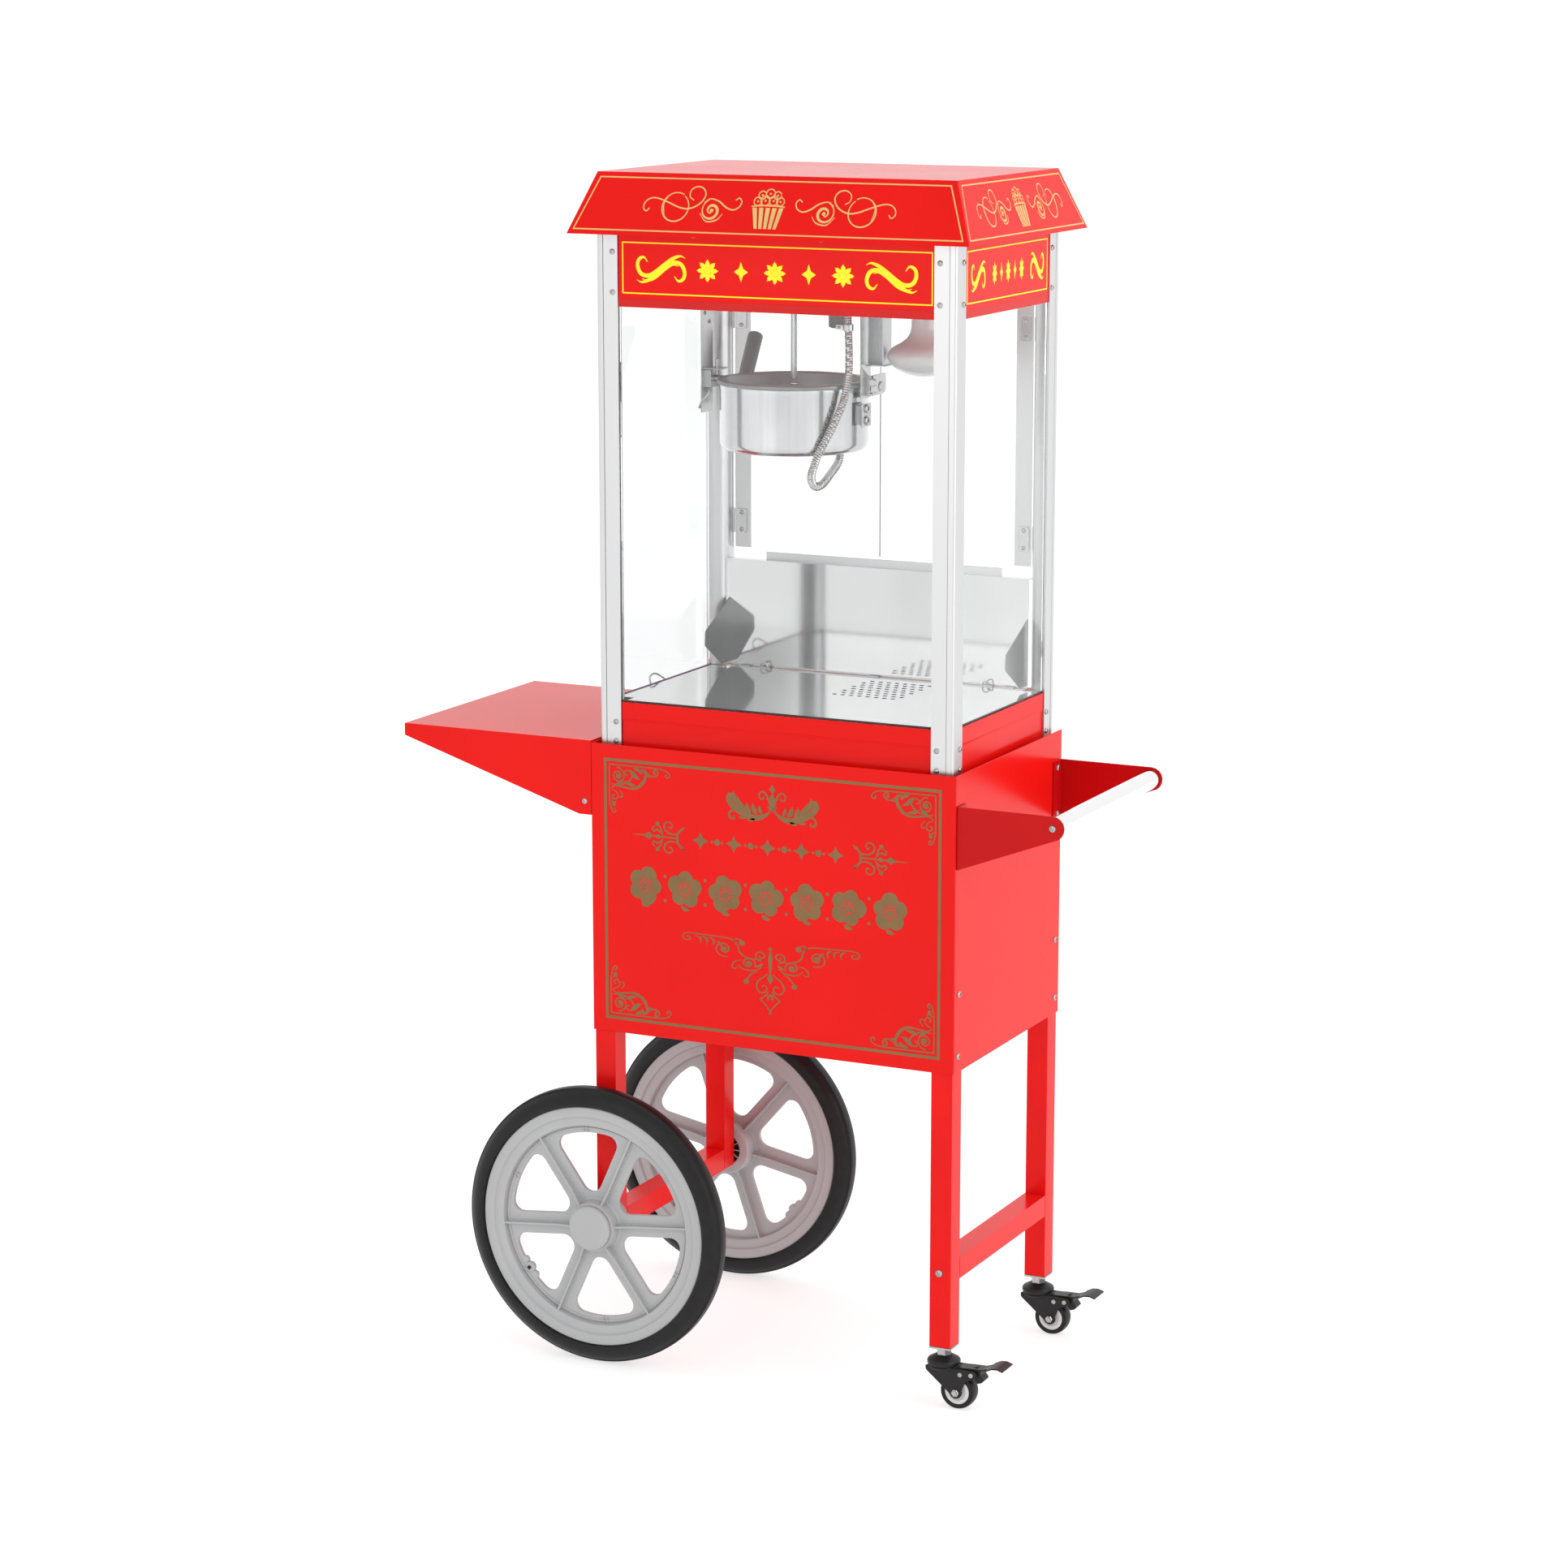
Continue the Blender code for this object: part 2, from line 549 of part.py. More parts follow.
ALL_SIDES = ("front", "rear", "left", "right")
ledge_z = 0.8640
base = prism(notched(0.2445, 0.1613, px, py), "z", ledge_z, ledge_z + SHEET)
cut(base, box((-0.2000, -0.1180, 0.8), (0.2000, 0.1180, 0.9)))
add(base, *wall_ring(0.2438, 0.1606, DECK_Z + 0.0010, BASE_STEP_Z + 0.0005, ALL_SIDES))
add(base, *wall_ring(0.2452, 0.1620, BASE_STEP_Z, BASE_TOP_Z, ALL_SIDES))
add(base, *wall_ring(0.2448, 0.1616, BASE_STEP_Z - 0.0020, BASE_STEP_Z + 0.0020, ALL_SIDES))
cut(base, box((-0.0110, 0.1500, 0.79), (0.1110, 0.1700, 0.8555 - 0.0035)))
finish("machine_base", base, "red")

floor = prism(notched(0.2380, 0.1545, 0.2140, 0.1310), "z", FLOOR_Z - 0.0012, FLOOR_Z)
cut(floor, box((-0.3, 0.1430, 0.8), (0.3, 0.2, 0.9)))
skirt = box((-0.2120, -0.1290, 0.8663), (0.2120, 0.1290, FLOOR_Z - 0.0005))
cut(skirt, box((-0.2108, -0.1278, 0.8), (0.2108, 0.1278, FLOOR_Z - 0.0010)))
add(floor, skirt)
sieve = []
for row in range(HOLE_ROWS):
    for col in range(HOLE_COLUMNS):
        stagger = HOLE_STEP_X / 2 if row % 2 else 0
        x = HOLE_START[0] + col * HOLE_STEP_X + stagger
        sieve.append((x, HOLE_START[1] + row * HOLE_STEP_Y, FLOOR_Z))
cut(floor, cylinders(sieve, "z", HOLE_R, -0.01, 0.01, 6))
finish("cabinet_tray", floor, "steel")

drawer = box((-0.0090, -0.0150, DECK_Z + 0.0008), (0.1090, 0.1590, 0.8500))
cut(drawer, box((-0.0080, -0.0140, DECK_Z + 0.0020), (0.1080, 0.1580, 0.9)))
add(drawer, box((-0.0160, 0.1580, DECK_Z + 0.0030), (0.1160, 0.1595, 0.8500)))
cut(drawer, box((-0.0200, 0.1580, 0.79), (-0.0090, 0.1700, 0.9)),
    box((0.1090, 0.1580, 0.79), (0.1200, 0.1700, 0.9)))
add(drawer, box((-0.0100, 0.1585, DECK_Z + 0.0030), (0.1100, 0.1630, 0.8505)))
add(drawer, cylinder((0.0500, 0.1625, 0.8270), "y", 0.0050, 0.0, 0.0120, 12))
add(drawer, cylinder((0.0500, 0.1725, 0.8270), "y", 0.0090, 0.0, 0.0060, 16))
finish("kernel_drawer", drawer, "steel", (0.05, 0.16, 0.827))

# ---------------------------------------------------------------- serving flap at the operator's side
flap = box((-0.2155, FLAP_Y, FLOOR_Z + 0.0030), (0.2155, FLAP_Y + 0.0012, FLAP_TOP_Z))
add(flap, box((-0.2155, FLAP_Y, FLAP_TOP_Z - 0.0012), (0.2155, FLAP_Y + 0.0120, FLAP_TOP_Z)))
add(flap, box((-0.1650, FLAP_Y + 0.0108, FLAP_TOP_Z - 0.0020),
              (0.1730, FLAP_Y + 0.0120, FLAP_TOP_Z + 0.0105)))
cheek_shape = [(FLAP_Y + 0.0005, 0.9705), (FLAP_Y - 0.0720, 0.9340), (FLAP_Y - 0.0740, 0.9160),
               (FLAP_Y - 0.0240, 0.8825), (FLAP_Y + 0.0005, 0.8825)]
for s in (-1, 1):
    add(flap, prism(cheek_shape, "x", s * 0.2155, s * 0.2143))
flap_axis = (0.0, FLAP_Y + 0.0006, FLOOR_Z + 0.0030)
finish("serving_flap", flap, "steel", flap_axis)

# ---------------------------------------------------------------- glazing and acrylic doors
glass_low, glass_top = 0.8662, 1.3925
finish("glass_front", box((-px + 0.0002, -0.1598, glass_low), (px - 0.0002, -0.1558, glass_top)), "glass")
for s, label in ((-1, "left"), (1, "right")):
    pane = box((s * 0.2430, -py + 0.0002, glass_low), (s * 0.2390, py - 0.0002, glass_top))
    finish("glass_" + label, pane, "glass")
for s, label in ((-1, "left"), (1, "right")):
    leaf = box((s * 0.2158, 0.1600, DOOR_LOW_Z), (s * 0.0010, 0.1630, 1.3800))
    finish("door_" + label, leaf, "glass", (s * 0.2160, 0.1632, 1.2080))

# ---------------------------------------------------------------- top box, control panel, roof
top_box = prism(notched(0.2440, 0.1597, px, py), "z", CEILING_Z, CEILING_Z + SHEET)
add(top_box, *wall_ring(0.2450, 0.1618, FASCIA_LOW_Z, 1.4725, ("front", "left", "right")))
rail_shape = notched(0.2445, 0.1597, px, py)
rail = prism(rail_shape, "z", 1.4710, 1.4725)
cut(rail, box((-0.2000, -0.1180, 1.40), (0.2000, 0.1180, 1.50)))
add(top_box, rail)
add(top_box, box((-0.2150, -0.1613, CEILING_Z), (0.2150, -0.1590, CEILING_Z + SHEET)))
cup = spin([(0.0160, -0.0002), (0.0195, -0.0002), (0.0195, 0.0300), (0.0160, 0.0300)],
           (LAMP_X, 0, CEILING_Z), "z", 20)
cut(top_box, cylinder((LAMP_X, 0, CEILING_Z), "z", 0.0165, -0.01, 0.01, 20))
add(top_box, cup)
cut(top_box, cylinder((POT_X, 0, CEILING_Z), "z", 0.0070, -0.01, 0.01, 12))
finish("top_box", top_box, "red")

SWITCH_XS = {"heat": -0.0550, "motor": 0.0, "lamp": 0.0550}
SWITCH_Z = 1.4300
panel = box((-px, 0.1603, FASCIA_LOW_Z + 0.0005), (px, 0.1618, 1.4700))
for x in SWITCH_XS.values():
    cut(panel, box((x - 0.0102, 0.15, SWITCH_Z - 0.0145), (x + 0.0102, 0.17, SWITCH_Z + 0.0145)))
finish("control_panel", panel, "red")
TILT = math.radians(8)
for label, x in SWITCH_XS.items():
    rocker_shape = [(0.1540, -0.0120), (0.1650, -0.0120), (0.1632, 0.0), (0.1650, 0.0120), (0.1540, 0.0120)]
    turned = []
    for y, z in rocker_shape:
        dy, dz = y - 0.1590, z
        turned.append((0.1590 + dy * math.cos(TILT) - dz * math.sin(TILT),
                       SWITCH_Z + dy * math.sin(TILT) + dz * math.cos(TILT)))
    rocker = prism(turned, "x", x - 0.0094, x + 0.0094)
    finish("switch_" + label, rocker, "black", (x, 0.1590, SWITCH_Z))


def roof_half(z, skin):
    t = (z - ROOF_LOW_Z) / (ROOF_TOP_Z - ROOF_LOW_Z)
    return tuple(a + (b - a) * t - skin for a, b in zip(ROOF_LOW, ROOF_TOP))


roof = frustum(ROOF_LOW, ROOF_TOP, ROOF_LOW_Z, ROOF_TOP_Z)
inner_low, inner_top = ROOF_LOW_Z + SHEET, ROOF_TOP_Z - SHEET
cut(roof, frustum(roof_half(inner_low, 0.0016), roof_half(inner_top, 0.0016), inner_low, inner_top))
cut(roof, box((-0.2250, -0.1420, 1.46), (0.2250, 0.1420, 1.50)))
finish("roof", roof, "red")

motor = box((POT_X - 0.0400, -0.0320, CEILING_Z + SHEET + GAP), (POT_X + 0.0400, 0.0320, 1.4250))
add(motor, cylinder((POT_X, 0, 0), "z", 0.0270, 1.4200, 1.4620, 24))
cut(motor, cylinder((POT_X, 0, 0), "z", 0.0055, 1.39, 1.4100, 12))
finish("gear_motor", motor, "black")

# ---------------------------------------------------------------- kettle and its hangers
pivot = (POT_X, 0.0, PIVOT_Z)
pot = spin([(0, POT_LOW_Z), (POT_R - 0.0100, POT_LOW_Z), (POT_R - 0.0025, POT_LOW_Z + 0.0035),
            (POT_R, POT_LOW_Z + 0.0110), (POT_R, 1.2785), (POT_FLANGE_R - 0.0010, 1.2785),
            (POT_FLANGE_R, 1.2795), (POT_FLANGE_R, 1.2825), (POT_FLANGE_R - 0.0012, POT_RIM_Z),
            (POT_BOWL_R + 0.0015, POT_RIM_Z), (POT_BOWL_R, 1.2825), (POT_BOWL_R, 1.2080),
            (POT_BOWL_R - 0.0030, 1.2020), (POT_BOWL_R - 0.0100, 1.1990), (0, 1.1990)],
           (POT_X, 0, 0), "z", 40)
PIN_ROOT = 0.0925         # both pivot pins start inside the wall of the pot
add(pot, cylinder(pivot, "x", PIN_R, -0.1320, -PIN_ROOT, 12),
    cylinder(pivot, "x", PIN_R, PIN_ROOT, 0.1150, 12))
GRIP_FOOT = Vector((-0.1466, 0.0445, 1.2565))
GRIP_HEAD = Vector((-0.1463, 0.0880, 1.3320))
out = Vector((GRIP_FOOT.x - POT_X, GRIP_FOOT.y, 0)).normalized()
across = Vector((-out.y, out.x, 0))
lug = []
for r, w in ((0.0920, -0.0080), (0.1130, -0.0080), (0.1130, 0.0080), (0.0920, 0.0080)):
    p = Vector((POT_X, 0, 0)) + out * r + across * w
    lug.append((p.x, p.y))
add(pot, prism(lug, "z", 1.2455, 1.2488))
finish("kettle_pot", pot, "steel", pivot)

length = (GRIP_HEAD - GRIP_FOOT).length
grip = spin([(0, 0.0), (0.0088, 0.0), (0.0098, 0.0060), (0.0100, length - 0.0060), (0.0070, length),
             (0, length + 0.0010)], (0, 0, 0), "z", 20)
turn = (GRIP_HEAD - GRIP_FOOT).to_track_quat("Z", "Y").to_matrix().to_4x4()
grip.data.transform(Matrix.Translation(GRIP_FOOT) @ turn)
add(grip, cylinder((GRIP_FOOT.x, GRIP_FOOT.y, 0), "z", 0.0032, 1.2492, 1.2620, 10))
finish("kettle_handle", grip, "black", pivot)

stirrer = cylinder((POT_X, 0, 0), "z", SHAFT_R, 1.2035, STIRRER_TOP_Z, 16)
add(stirrer, box((POT_X - STIR_ARM, -STIR_HALF, STIR_LOW_Z), (POT_X + STIR_ARM, STIR_HALF, 1.2060)))
for s in (-1, 1):
    add(stirrer, box((POT_X + s * STIR_ARM, -STIR_HALF, STIR_LOW_Z),
                     (POT_X + s * (STIR_ARM - STIR_TIP), STIR_HALF, 1.2250)))
finish("stirrer", stirrer, "steel", (POT_X, 0, 1.2035))
shaft = cylinder((POT_X, 0, 0), "z", SHAFT_R, SHAFT_FOOT_Z, 1.4080, 16)
finish("drive_shaft", shaft, "steel", (POT_X, 0, 1.3930))

foot_top = CEILING_Z - GAP
left = box((HANGER_LEFT_X, -0.0160, 1.2360), (HANGER_LEFT_X + SHEET, 0.0160, foot_top))
add(left, box((HANGER_LEFT_X, -0.0160, foot_top - SHEET), (HANGER_LEFT_X + 0.0220, 0.0160, foot_top)))
add(left, box((HANGER_LEFT_X + 0.0010, -0.0120, PIVOT_Z - BOSS_HALF),
              (HANGER_LEFT_X + 0.0130, 0.0120, PIVOT_Z + BOSS_HALF)))
cut(left, cylinder((HANGER_LEFT_X, 0, PIVOT_Z), "x", PIN_HOLE_R, -0.02, 0.03, 12))
finish("hanger_left", left, "steel")
right = box((HANGER_RIGHT_X, -0.0150, 1.2640), (HANGER_RIGHT_X + SHEET, 0.0150, foot_top))
add(right, box((HANGER_RIGHT_X, -0.0150, foot_top - SHEET), (HANGER_RIGHT_X + 0.0220, 0.0150, foot_top)))
add(right, box((HANGER_RIGHT_X + 0.0010, -0.0160, PIVOT_Z - BOSS_HALF),
               (HANGER_RIGHT_X + 0.0190, 0.0160, PIVOT_Z + BOSS_HALF)))
cut(right, cylinder((HANGER_RIGHT_X, 0, PIVOT_Z), "x", PIN_HOLE_R, -0.02, 0.0175, 12))
finish("hanger_right", right, "steel")

# ---------------------------------------------------------------- kettle's conduit, hanging in one loop
CONDUIT_R = 0.0048
CONDUIT = [(0.0435, -0.0360, 1.3915), (0.0435, -0.0360, 1.3700), (0.0448, -0.0372, 1.3500),
           (0.0467, -0.0393, 1.3250), (0.0477, -0.0421, 1.3000), (0.0466, -0.0464, 1.2800),
           (0.0431, -0.0513, 1.2600), (0.0370, -0.0592, 1.2400), (0.0299, -0.0671, 1.2200),
           (0.0215, -0.0743, 1.2000), (0.0145, -0.0750, 1.1820), (0.0095, -0.0715, 1.1690),
           (0.0080, -0.0635, 1.1590), (0.0095, -0.0530, 1.1548), (0.0130, -0.0430, 1.1580),
           (0.0162, -0.0335, 1.1660), (0.0188, -0.0250, 1.1735), (0.0205, -0.0182, 1.1792),
           (0.0212, -0.0132, 1.1848), (0.0213, -0.0112, 1.1897), (0.0213, -0.0110, 1.1931)]


finish("kettle_cable", swept_tube(CONDUIT, CONDUIT_R), "steel")

# ---------------------------------------------------------------- reflector lamp
bulb = spin([(0, 1.2950), (0.0200, 1.2968), (0.0360, 1.3025), (0.0450, 1.3110), (0.0475, 1.3190),
             (0.0455, 1.3290), (0.0360, 1.3450), (0.0240, 1.3600), (0.0200, 1.3680), (0.0140, 1.3800),
             (0.0134, 1.3900), (0.0134, 1.4180), (0, 1.4200)], (LAMP_X, 0, 0), "z", 32)
finish("lamp_bulb", bulb, "white")

TOOLS.hide_render = True
for name, obj in DONE.items():
    assert obj.data.polygons, name
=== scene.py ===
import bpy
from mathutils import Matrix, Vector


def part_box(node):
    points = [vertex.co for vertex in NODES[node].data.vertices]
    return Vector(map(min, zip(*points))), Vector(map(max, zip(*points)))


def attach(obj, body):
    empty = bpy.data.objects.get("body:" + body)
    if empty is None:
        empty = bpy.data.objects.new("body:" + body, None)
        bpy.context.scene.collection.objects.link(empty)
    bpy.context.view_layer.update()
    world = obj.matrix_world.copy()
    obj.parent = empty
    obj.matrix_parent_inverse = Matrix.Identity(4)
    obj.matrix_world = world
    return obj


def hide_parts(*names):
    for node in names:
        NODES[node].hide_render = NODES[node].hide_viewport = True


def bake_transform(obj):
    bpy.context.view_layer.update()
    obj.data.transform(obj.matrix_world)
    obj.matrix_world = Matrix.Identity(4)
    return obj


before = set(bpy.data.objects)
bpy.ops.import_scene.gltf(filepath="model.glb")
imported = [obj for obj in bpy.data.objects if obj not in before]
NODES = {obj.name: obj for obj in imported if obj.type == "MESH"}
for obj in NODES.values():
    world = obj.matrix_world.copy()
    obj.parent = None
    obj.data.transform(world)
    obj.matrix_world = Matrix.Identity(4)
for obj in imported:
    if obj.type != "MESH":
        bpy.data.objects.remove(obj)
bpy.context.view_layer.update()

import math

import bmesh
import bpy
from mathutils import Matrix, Vector

TAU = 2 * math.pi
MM = 0.001

# ------------------------------------------------------------------ places taken from the frame
FRONT_LOW, FRONT_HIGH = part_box("cart_front_panel")
TOP_LOW, TOP_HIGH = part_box("top_box")
ROOF_LOW, ROOF_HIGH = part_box("roof")
BASE_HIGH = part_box("machine_base")[1]
FLAP_LOW, FLAP_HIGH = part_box("serving_flap")
TRAY_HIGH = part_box("cabinet_tray")[1]
MID_X = (FRONT_LOW.x + FRONT_HIGH.x) / 2
CEILING_Z = 1.3935
PIVOT_Z = 1.28
POT_X = (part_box("drive_shaft")[0].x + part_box("drive_shaft")[1].x) / 2
POT_R = 0.0955
POT_BOWL_R = 0.089
POT_FLANGE_R = 0.0985
POT_LOW_Z = 1.194
POT_RIM_Z = 1.2845
PI_HALF = math.pi / 2


# ------------------------------------------------------------------ camera, world, lights, floor
def look_from(place, azimuth, pitch, lens):
    """The photograph's angle: azimuth about Z from the +Y direction, pitch downwards."""
    data = bpy.data.cameras.new("camera")
    data.sensor_width = 36
    data.lens = lens
    data.clip_end = 500
    camera = bpy.data.objects.new("camera", data)
    camera.location = place
    camera.rotation_euler = (math.radians(90 - pitch), 0, math.radians(azimuth))
    bpy.context.scene.collection.objects.link(camera)
    bpy.context.scene.camera = camera


look_from((MID_X + 2.1909, -4.648, 1.8189), 25.88, 11.655, 92.64)

# ------------------------------------------------------------------ materials
def surface(name, colour, roughness, metallic=0.0, variation=0.05, blotch=9.0, grain=900.0,
            grain_height=0.03, stretch=(1, 1, 1), swing=0.05, **sockets):
    """A finish with soft colour patches, uneven gloss and a fine raised grain."""
    mat = bpy.data.materials.new(name)
    mat.use_nodes = True
    tree = mat.node_tree
    shader = tree.nodes["Principled BSDF"]
    coords = tree.nodes.new("ShaderNodeTexCoord")
    scale = tree.nodes.new("ShaderNodeMapping")
    scale.inputs["Scale"].default_value = stretch
    tree.links.new(coords.outputs["Object"], scale.inputs["Vector"])

    patches = tree.nodes.new("ShaderNodeTexNoise")
    patches.inputs["Scale"].default_value = blotch
    patches.inputs["Detail"].default_value = 4
    tree.links.new(scale.outputs["Vector"], patches.inputs["Vector"])
    tint = tree.nodes.new("ShaderNodeValToRGB")
    tint.color_ramp.elements[0].position = 0.32
    tint.color_ramp.elements[1].position = 0.68
    tint.color_ramp.elements[0].color = (*(c * (1 - variation) for c in colour), 1)
    tint.color_ramp.elements[1].color = (*(min(1, c * (1 + variation)) for c in colour), 1)
    tree.links.new(patches.outputs["Fac"], tint.inputs["Fac"])
    tree.links.new(tint.outputs["Color"], shader.inputs["Base Color"])

    gloss = tree.nodes.new("ShaderNodeMapRange")
    gloss.inputs["To Min"].default_value = max(0.0, roughness - swing)
    gloss.inputs["To Max"].default_value = roughness + swing
    tree.links.new(patches.outputs["Fac"], gloss.inputs["Value"])
    tree.links.new(gloss.outputs["Result"], shader.inputs["Roughness"])

    fine = tree.nodes.new("ShaderNodeTexNoise")
    fine.inputs["Scale"].default_value = grain
    fine.inputs["Detail"].default_value = 2
    tree.links.new(scale.outputs["Vector"], fine.inputs["Vector"])
    bump = tree.nodes.new("ShaderNodeBump")
    bump.inputs["Strength"].default_value = grain_height
    bump.inputs["Distance"].default_value = 0.0005
    tree.links.new(fine.outputs["Fac"], bump.inputs["Height"])
    tree.links.new(bump.outputs["Normal"], shader.inputs["Normal"])

    shader.inputs["Metallic"].default_value = metallic
    for socket, value in sockets.items():
        shader.inputs[socket.replace("_", " ")].default_value = value
    return mat


def clear_sheet(name, tint, roughness):
    """Clear glass or acrylic, with a faint cloudiness in its gloss."""
    mat = surface(name, tint, roughness, variation=0.01, grain_height=0.0, swing=roughness * 0.5)
    shader = mat.node_tree.nodes["Principled BSDF"]
    shader.inputs["Transmission Weight"].default_value = 1.0
    shader.inputs["IOR"].default_value = 1.45
    return mat


PAINT = dict(grain=650.0, grain_height=0.04, Specular_IOR_Level=0.14, Coat_Weight=0.0)
RED = surface("red_powder_coat", (0.76, 0.0062, 0.0043), 0.22, variation=0.035, blotch=5.0, **PAINT)
RED_DEEP = surface("red_powder_coat_frame", (0.78, 0.007, 0.006), 0.22, variation=0.05, blotch=14.0,
                   **PAINT)
# painted shade: a darker copy of the red powder coat for the handle arms
RED_ARM_PAINTED_SHADE = surface("red_powder_coat_arm_painted_shade", (0.52, 0.003, 0.004), 0.24, variation=0.04, blotch=9.0, **PAINT)
# painted shade: a darker copy of the red powder coat for the top box's lower lip
RED_LIP_PAINTED_SHADE = surface("red_powder_coat_lip_painted_shade", (0.6, 0.018, 0.016), 0.26, variation=0.04, blotch=14.0, **PAINT)
RED_PRINT = surface("red_print_line", (0.76, 0.01, 0.007), 0.34, variation=0.03)
BROWN_GOLD = surface("gold_brown_print", (0.205, 0.112, 0.03), 0.48, variation=0.07, blotch=40.0)
PALE_GOLD = surface("pale_gold_print", (0.7, 0.47, 0.15), 0.4, variation=0.06, blotch=40.0)
YELLOW = surface("yellow_print", (1.0, 0.86, 0.0), 0.42, variation=0.03, blotch=40.0)
ALUMINIUM = surface("satin_aluminium", (0.66, 0.66, 0.665), 0.34, 1.0, 0.02, 30.0, 1400.0, 0.08,
                    (1, 1, 0.02))
MIRROR = surface("mirror_steel", (0.66, 0.66, 0.66), 0.07, 1.0, 0.03, 6.0, 500.0, 0.01, (0.15, 1, 1), 0.03)
CHEEK = surface("stainless_cheek", (0.3, 0.3, 0.3), 0.16, 1.0, 0.06, 12.0, 700.0, 0.02, (1, 1, 0.2), 0.04)
STEEL = surface("bright_steel", (0.5, 0.5, 0.505), 0.26, 1.0, 0.08, 20.0, 900.0, 0.04, (1, 1, 0.2))
# painted shade: the kernel drawer is made near black so the tray holes above it read dark
DRAWER_PAINTED_SHADE = surface("drawer_steel_painted_shade", (0.1, 0.1, 0.1), 0.5, 0.6, 0.12, 40.0, 700.0, 0.08)
# painted reflection: strong colour variation stretched along Z paints vertical light and dark reflection
# bands into the pot steel
POLISHED_PAINTED_BANDS = surface("polished_pot_steel_painted_bands", (0.6, 0.6, 0.605), 0.1, 1.0, 0.22, 24.0, 1200.0, 0.03,
                   (1.0, 1.0, 0.03), 0.03, Anisotropic=0.4)
CHROME = surface("chromed_tube", (0.86, 0.86, 0.87), 0.06, 1.0, 0.015, 10.0, 300.0, 0.01, (1, 0.1, 1), 0.02)
ZINC = surface("zinc_plate", (0.46, 0.46, 0.455), 0.3, 1.0, 0.08, 60.0, 900.0, 0.05)
NONSTICK = surface("nonstick_lining", (0.25, 0.25, 0.255), 0.4, 0.75, 0.15, 400.0, 1500.0, 0.12)
WHEEL_GREY = surface("moulded_grey_plastic", (0.43, 0.435, 0.44), 0.46, 0.0, 0.035, 11.0, 1300.0, 0.1)
TYRE = surface("tyre_rubber", (0.008, 0.008, 0.009), 0.44, 0.0, 0.25, 60.0, 1500.0, 0.2,
               Specular_IOR_Level=0.28)
BLACK = surface("black_plastic", (0.01, 0.01, 0.011), 0.38, 0.0, 0.2, 30.0, 1000.0, 0.12,
                Specular_IOR_Level=0.3)
GRIP = surface("grip_phenolic", (0.085, 0.085, 0.087), 0.48, 0.0, 0.15, 50.0, 900.0, 0.15)
CASTER_GREY = surface("caster_hub_grey", (0.62, 0.62, 0.62), 0.4, 0.0, 0.05, 50.0, 900.0, 0.08)
LAMP_WHITE = surface("frosted_lamp_glass", (0.8, 0.8, 0.79), 0.22, 0.0, 0.02, 20.0, 900.0, 0.01,
                     Subsurface_Weight=0.3, Subsurface_Scale=0.01, Coat_Weight=0.4)
CONDUIT = surface("galvanised_conduit", (0.58, 0.58, 0.57), 0.3, 1.0, 0.1, 80.0, 1200.0, 0.08)
STRIP_GREY = surface("grey_hinge_strip", (0.7, 0.7, 0.7), 0.42, 0.9, 0.03, 20.0, 700.0, 0.04)
GLASS = clear_sheet("clear_glass", (0.975, 0.985, 0.985), 0.004)
ACRYLIC = clear_sheet("clear_acrylic", (0.985, 0.985, 0.985), 0.008)
# painted reflection: a purple standing in for the reflection seen along the pane edges
GLASS_EDGE_REFLECTION = surface("painted_reflection_glass_edge", (0.22, 0.08, 0.24), 0.25, 0.0, 0.15, 60.0, 400.0, 0.02)
FLOOR = surface("studio_floor", (0.5, 0.5, 0.5), 0.75, 0.0, 0.004, 0.4, 30.0, 0.01, Specular_IOR_Level=0.1,
                Emission_Color=(1, 1, 1, 1), Emission_Strength=0.62)


def light_the_room():
    """An even white sky, a little dimmer behind the camera, and two soft lights."""
    world = bpy.data.worlds.new("studio")
    bpy.context.scene.world = world
    world.use_nodes = True
    tree = world.node_tree
    sky = tree.nodes["Background"]
    coords = tree.nodes.new("ShaderNodeTexCoord")
    split = tree.nodes.new("ShaderNodeSeparateXYZ")
    dim = tree.nodes.new("ShaderNodeMapRange")
    dim.inputs["From Min"].default_value = -0.9
    dim.inputs["From Max"].default_value = 0.1
    dim.inputs["To Min"].default_value = 0.72
    dim.inputs["To Max"].default_value = 1.08
    tree.links.new(coords.outputs["Generated"], split.inputs["Vector"])
    tree.links.new(split.outputs["Y"], dim.inputs["Value"])
    tree.links.new(dim.outputs["Result"], sky.inputs["Strength"])
    sky.inputs["Color"].default_value = (1, 1, 1, 1)
    bpy.context.scene.view_settings.view_transform = "Standard"

    for name, place, power in (("front_softbox", (-0.6, -4.2, 2.2), 26),
                               ("side_softbox", (4.2, -0.6, 2.2), 62)):
        light = bpy.data.lights.new(name, "AREA")
        light.energy = power
        light.size = 3.0
        light.specular_factor = 0.15
        lamp = bpy.data.objects.new(name, light)
        lamp.location = place
        lamp.rotation_euler = (Vector((0, 0, 0.8)) - lamp.location).to_track_quat("-Z", "Y").to_euler()
        bpy.context.scene.collection.objects.link(lamp)


def lay_floor():
    """A wide plain floor just below the object."""
    bm = bmesh.new()
    bmesh.ops.create_circle(bm, cap_ends=True, segments=96, radius=240)
    mesh = bpy.data.meshes.new("floor")
    bm.to_mesh(mesh)
    bm.free()
    mesh.materials.append(FLOOR)
    floor = bpy.data.objects.new("floor", mesh)
    floor.location.z = -0.0002
    bpy.context.scene.collection.objects.link(floor)


light_the_room()
lay_floor()


